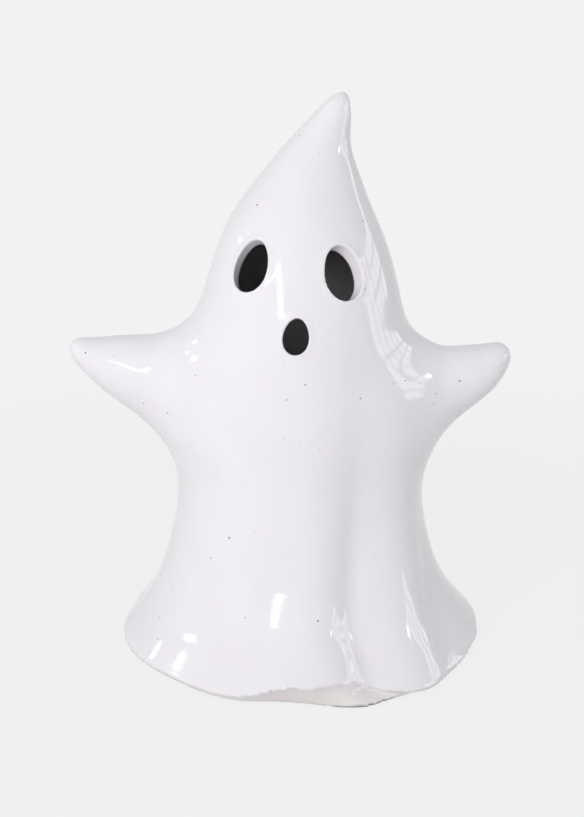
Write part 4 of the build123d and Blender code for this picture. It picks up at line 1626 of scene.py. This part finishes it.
@dataclass
class Studio:
    """The pale floor, the soft lights and the camera."""

    background: float = 0.8879
    ambient: float = 0.40
    floor_reach: float = 3.0
    floor_opening: float = 0.0655
    floor_drop: float = 0.0002
    floor_sides: int = 64
    floor_albedo: float = 0.86
    shadow_share: float = 0.08
    shadow_near: float = 0.15
    shadow_far: float = 0.5
    aim: tuple[float, float, float] = (FOOT_AXIS * MM, 0.0, 0.11)
    camera_place: tuple[float, float, float] = (0.0006, -0.620, 0.300)
    camera_pitch: float = 17.84
    frame_height: int = 817
    focal_pixels: float = 1570.0
    sensor: float = 36.0
    nearest: float = 0.02

    def build(self) -> None:
        """Builds the whole studio."""
        bpy.context.scene.view_settings.view_transform = "Standard"
        self.camera()
        self.floor()
        self.world()
        for light in (*SOFT_BOXES, *Window().panes()):
            self.light(light)

    def camera(self) -> None:
        """Sets the camera where the photograph was taken from."""
        data = bpy.data.cameras.new("camera")
        data.sensor_fit = "VERTICAL"
        data.sensor_height = self.sensor
        data.lens = self.focal_pixels / self.frame_height * self.sensor
        data.clip_start = self.nearest
        camera = place_object("camera", data)
        camera.location = self.camera_place
        camera.rotation_euler = (math.radians(90.0 - self.camera_pitch), 0.0, 0.0)
        bpy.context.scene.camera = camera

    @staticmethod
    def seen_directly(tree: NodeTree) -> NodeSocket:
        """Masks the rays that show the background itself.

        Args:
            tree: The tree to add the mask to.

        Returns:
            The mask's socket.
        """
        path = tree.nodes.new("ShaderNodeLightPath")
        mirrored = sum_node(tree, "MAXIMUM", path.outputs["Is Camera Ray"], path.outputs["Is Glossy Ray"])
        return sum_node(tree, "MAXIMUM", mirrored, path.outputs["Is Transmission Ray"])

    def floor(self) -> None:
        """Lays the floor, which shows as the plain background apart from a faint shadow.

        The figure hides a round opening, through which the light is drawn, and the floor is clear from below.
        """
        count = self.floor_sides
        turns = [2.0 * math.pi * step / count for step in range(count)]
        corners = [
            (self.aim[0] + radius * math.cos(turn), radius * math.sin(turn), -self.floor_drop)
            for radius in (self.floor_opening, self.floor_reach)
            for turn in turns
        ]
        sides = [(step, (step + 1) % count) for step in range(count)]
        mesh = bpy.data.meshes.new("floor")
        mesh.from_pydata(corners, [], [(one, count + one, count + two, two) for one, two in sides])
        floor = place_object("floor", mesh)
        material = bpy.data.materials.new("pale_floor")
        material.use_nodes = True
        tree = material.node_tree
        tree.nodes.clear()
        lit = grey_node(tree, "ShaderNodeBsdfDiffuse", self.floor_albedo)
        plain = grey_node(tree, "ShaderNodeEmission", self.background)
        place = tree.nodes.new("ShaderNodeTexCoord")
        far = tree.nodes.new("ShaderNodeVectorMath")
        far.operation = "LENGTH"
        wire(tree, place.outputs["Object"], far.inputs[0])
        near = ramp_node(tree, far.outputs["Value"], self.shadow_far, self.shadow_near)
        shadowed = sum_node(tree, "MULTIPLY", near, self.shadow_share)
        plain_share = sum_node(tree, "SUBTRACT", 1.0, shadowed)
        share = sum_node(tree, "MULTIPLY", plain_share, self.seen_directly(tree))
        side = tree.nodes.new("ShaderNodeNewGeometry")
        clear = tree.nodes.new("ShaderNodeBsdfTransparent")
        above = mix_shaders(tree, share, lit, plain)
        sided = mix_shaders(tree, side.outputs["Backfacing"], above, clear.outputs[0])
        out = tree.nodes.new("ShaderNodeOutputMaterial")
        wire(tree, sided, out.inputs["Surface"])
        mesh.materials.append(material)

    def world(self) -> None:
        """Lights the scene evenly, and shows the plain background behind it."""
        world = bpy.data.worlds.new("studio")
        bpy.context.scene.world = world
        world.use_nodes = True
        tree = world.node_tree
        tree.nodes.clear()
        glow = grey_node(tree, "ShaderNodeBackground", self.ambient)
        plain = grey_node(tree, "ShaderNodeBackground", self.background)
        mixed = mix_shaders(tree, self.seen_directly(tree), glow, plain)
        out = tree.nodes.new("ShaderNodeOutputWorld")
        wire(tree, mixed, out.inputs["Surface"])

    def light(self, box: SoftBox) -> None:
        """Hangs one soft light and aims it at the figure.

        Args:
            box: The light.
        """
        data = bpy.data.lights.new(box.name, "AREA")
        data.shape = "RECTANGLE"
        data.size = box.width
        data.size_y = box.height
        data.energy = box.power
        lamp = place_object(box.name, data)
        lamp.visible_glossy = box.mirrored
        way = heading(math.radians(box.turn), math.radians(box.rise))
        lamp.location = Vector(self.aim) + way * box.away
        leaning = Quaternion((0.0, 0.0, 1.0), math.radians(box.lean))
        lamp.rotation_euler = (way.to_track_quat("Z", "Y") @ leaning).to_euler()


def main() -> None:
    """Builds the studio, the ghost and its light in order."""
    logging.basicConfig(level=logging.INFO)
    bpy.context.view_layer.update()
    Studio().build()
    GhostFigure().build(GlazeFinish())
    materials = {slot: finish.material() for slot, finish in FINISHES.items()}
    LightPlug().build(materials)


if __name__ == "__main__":
    main()
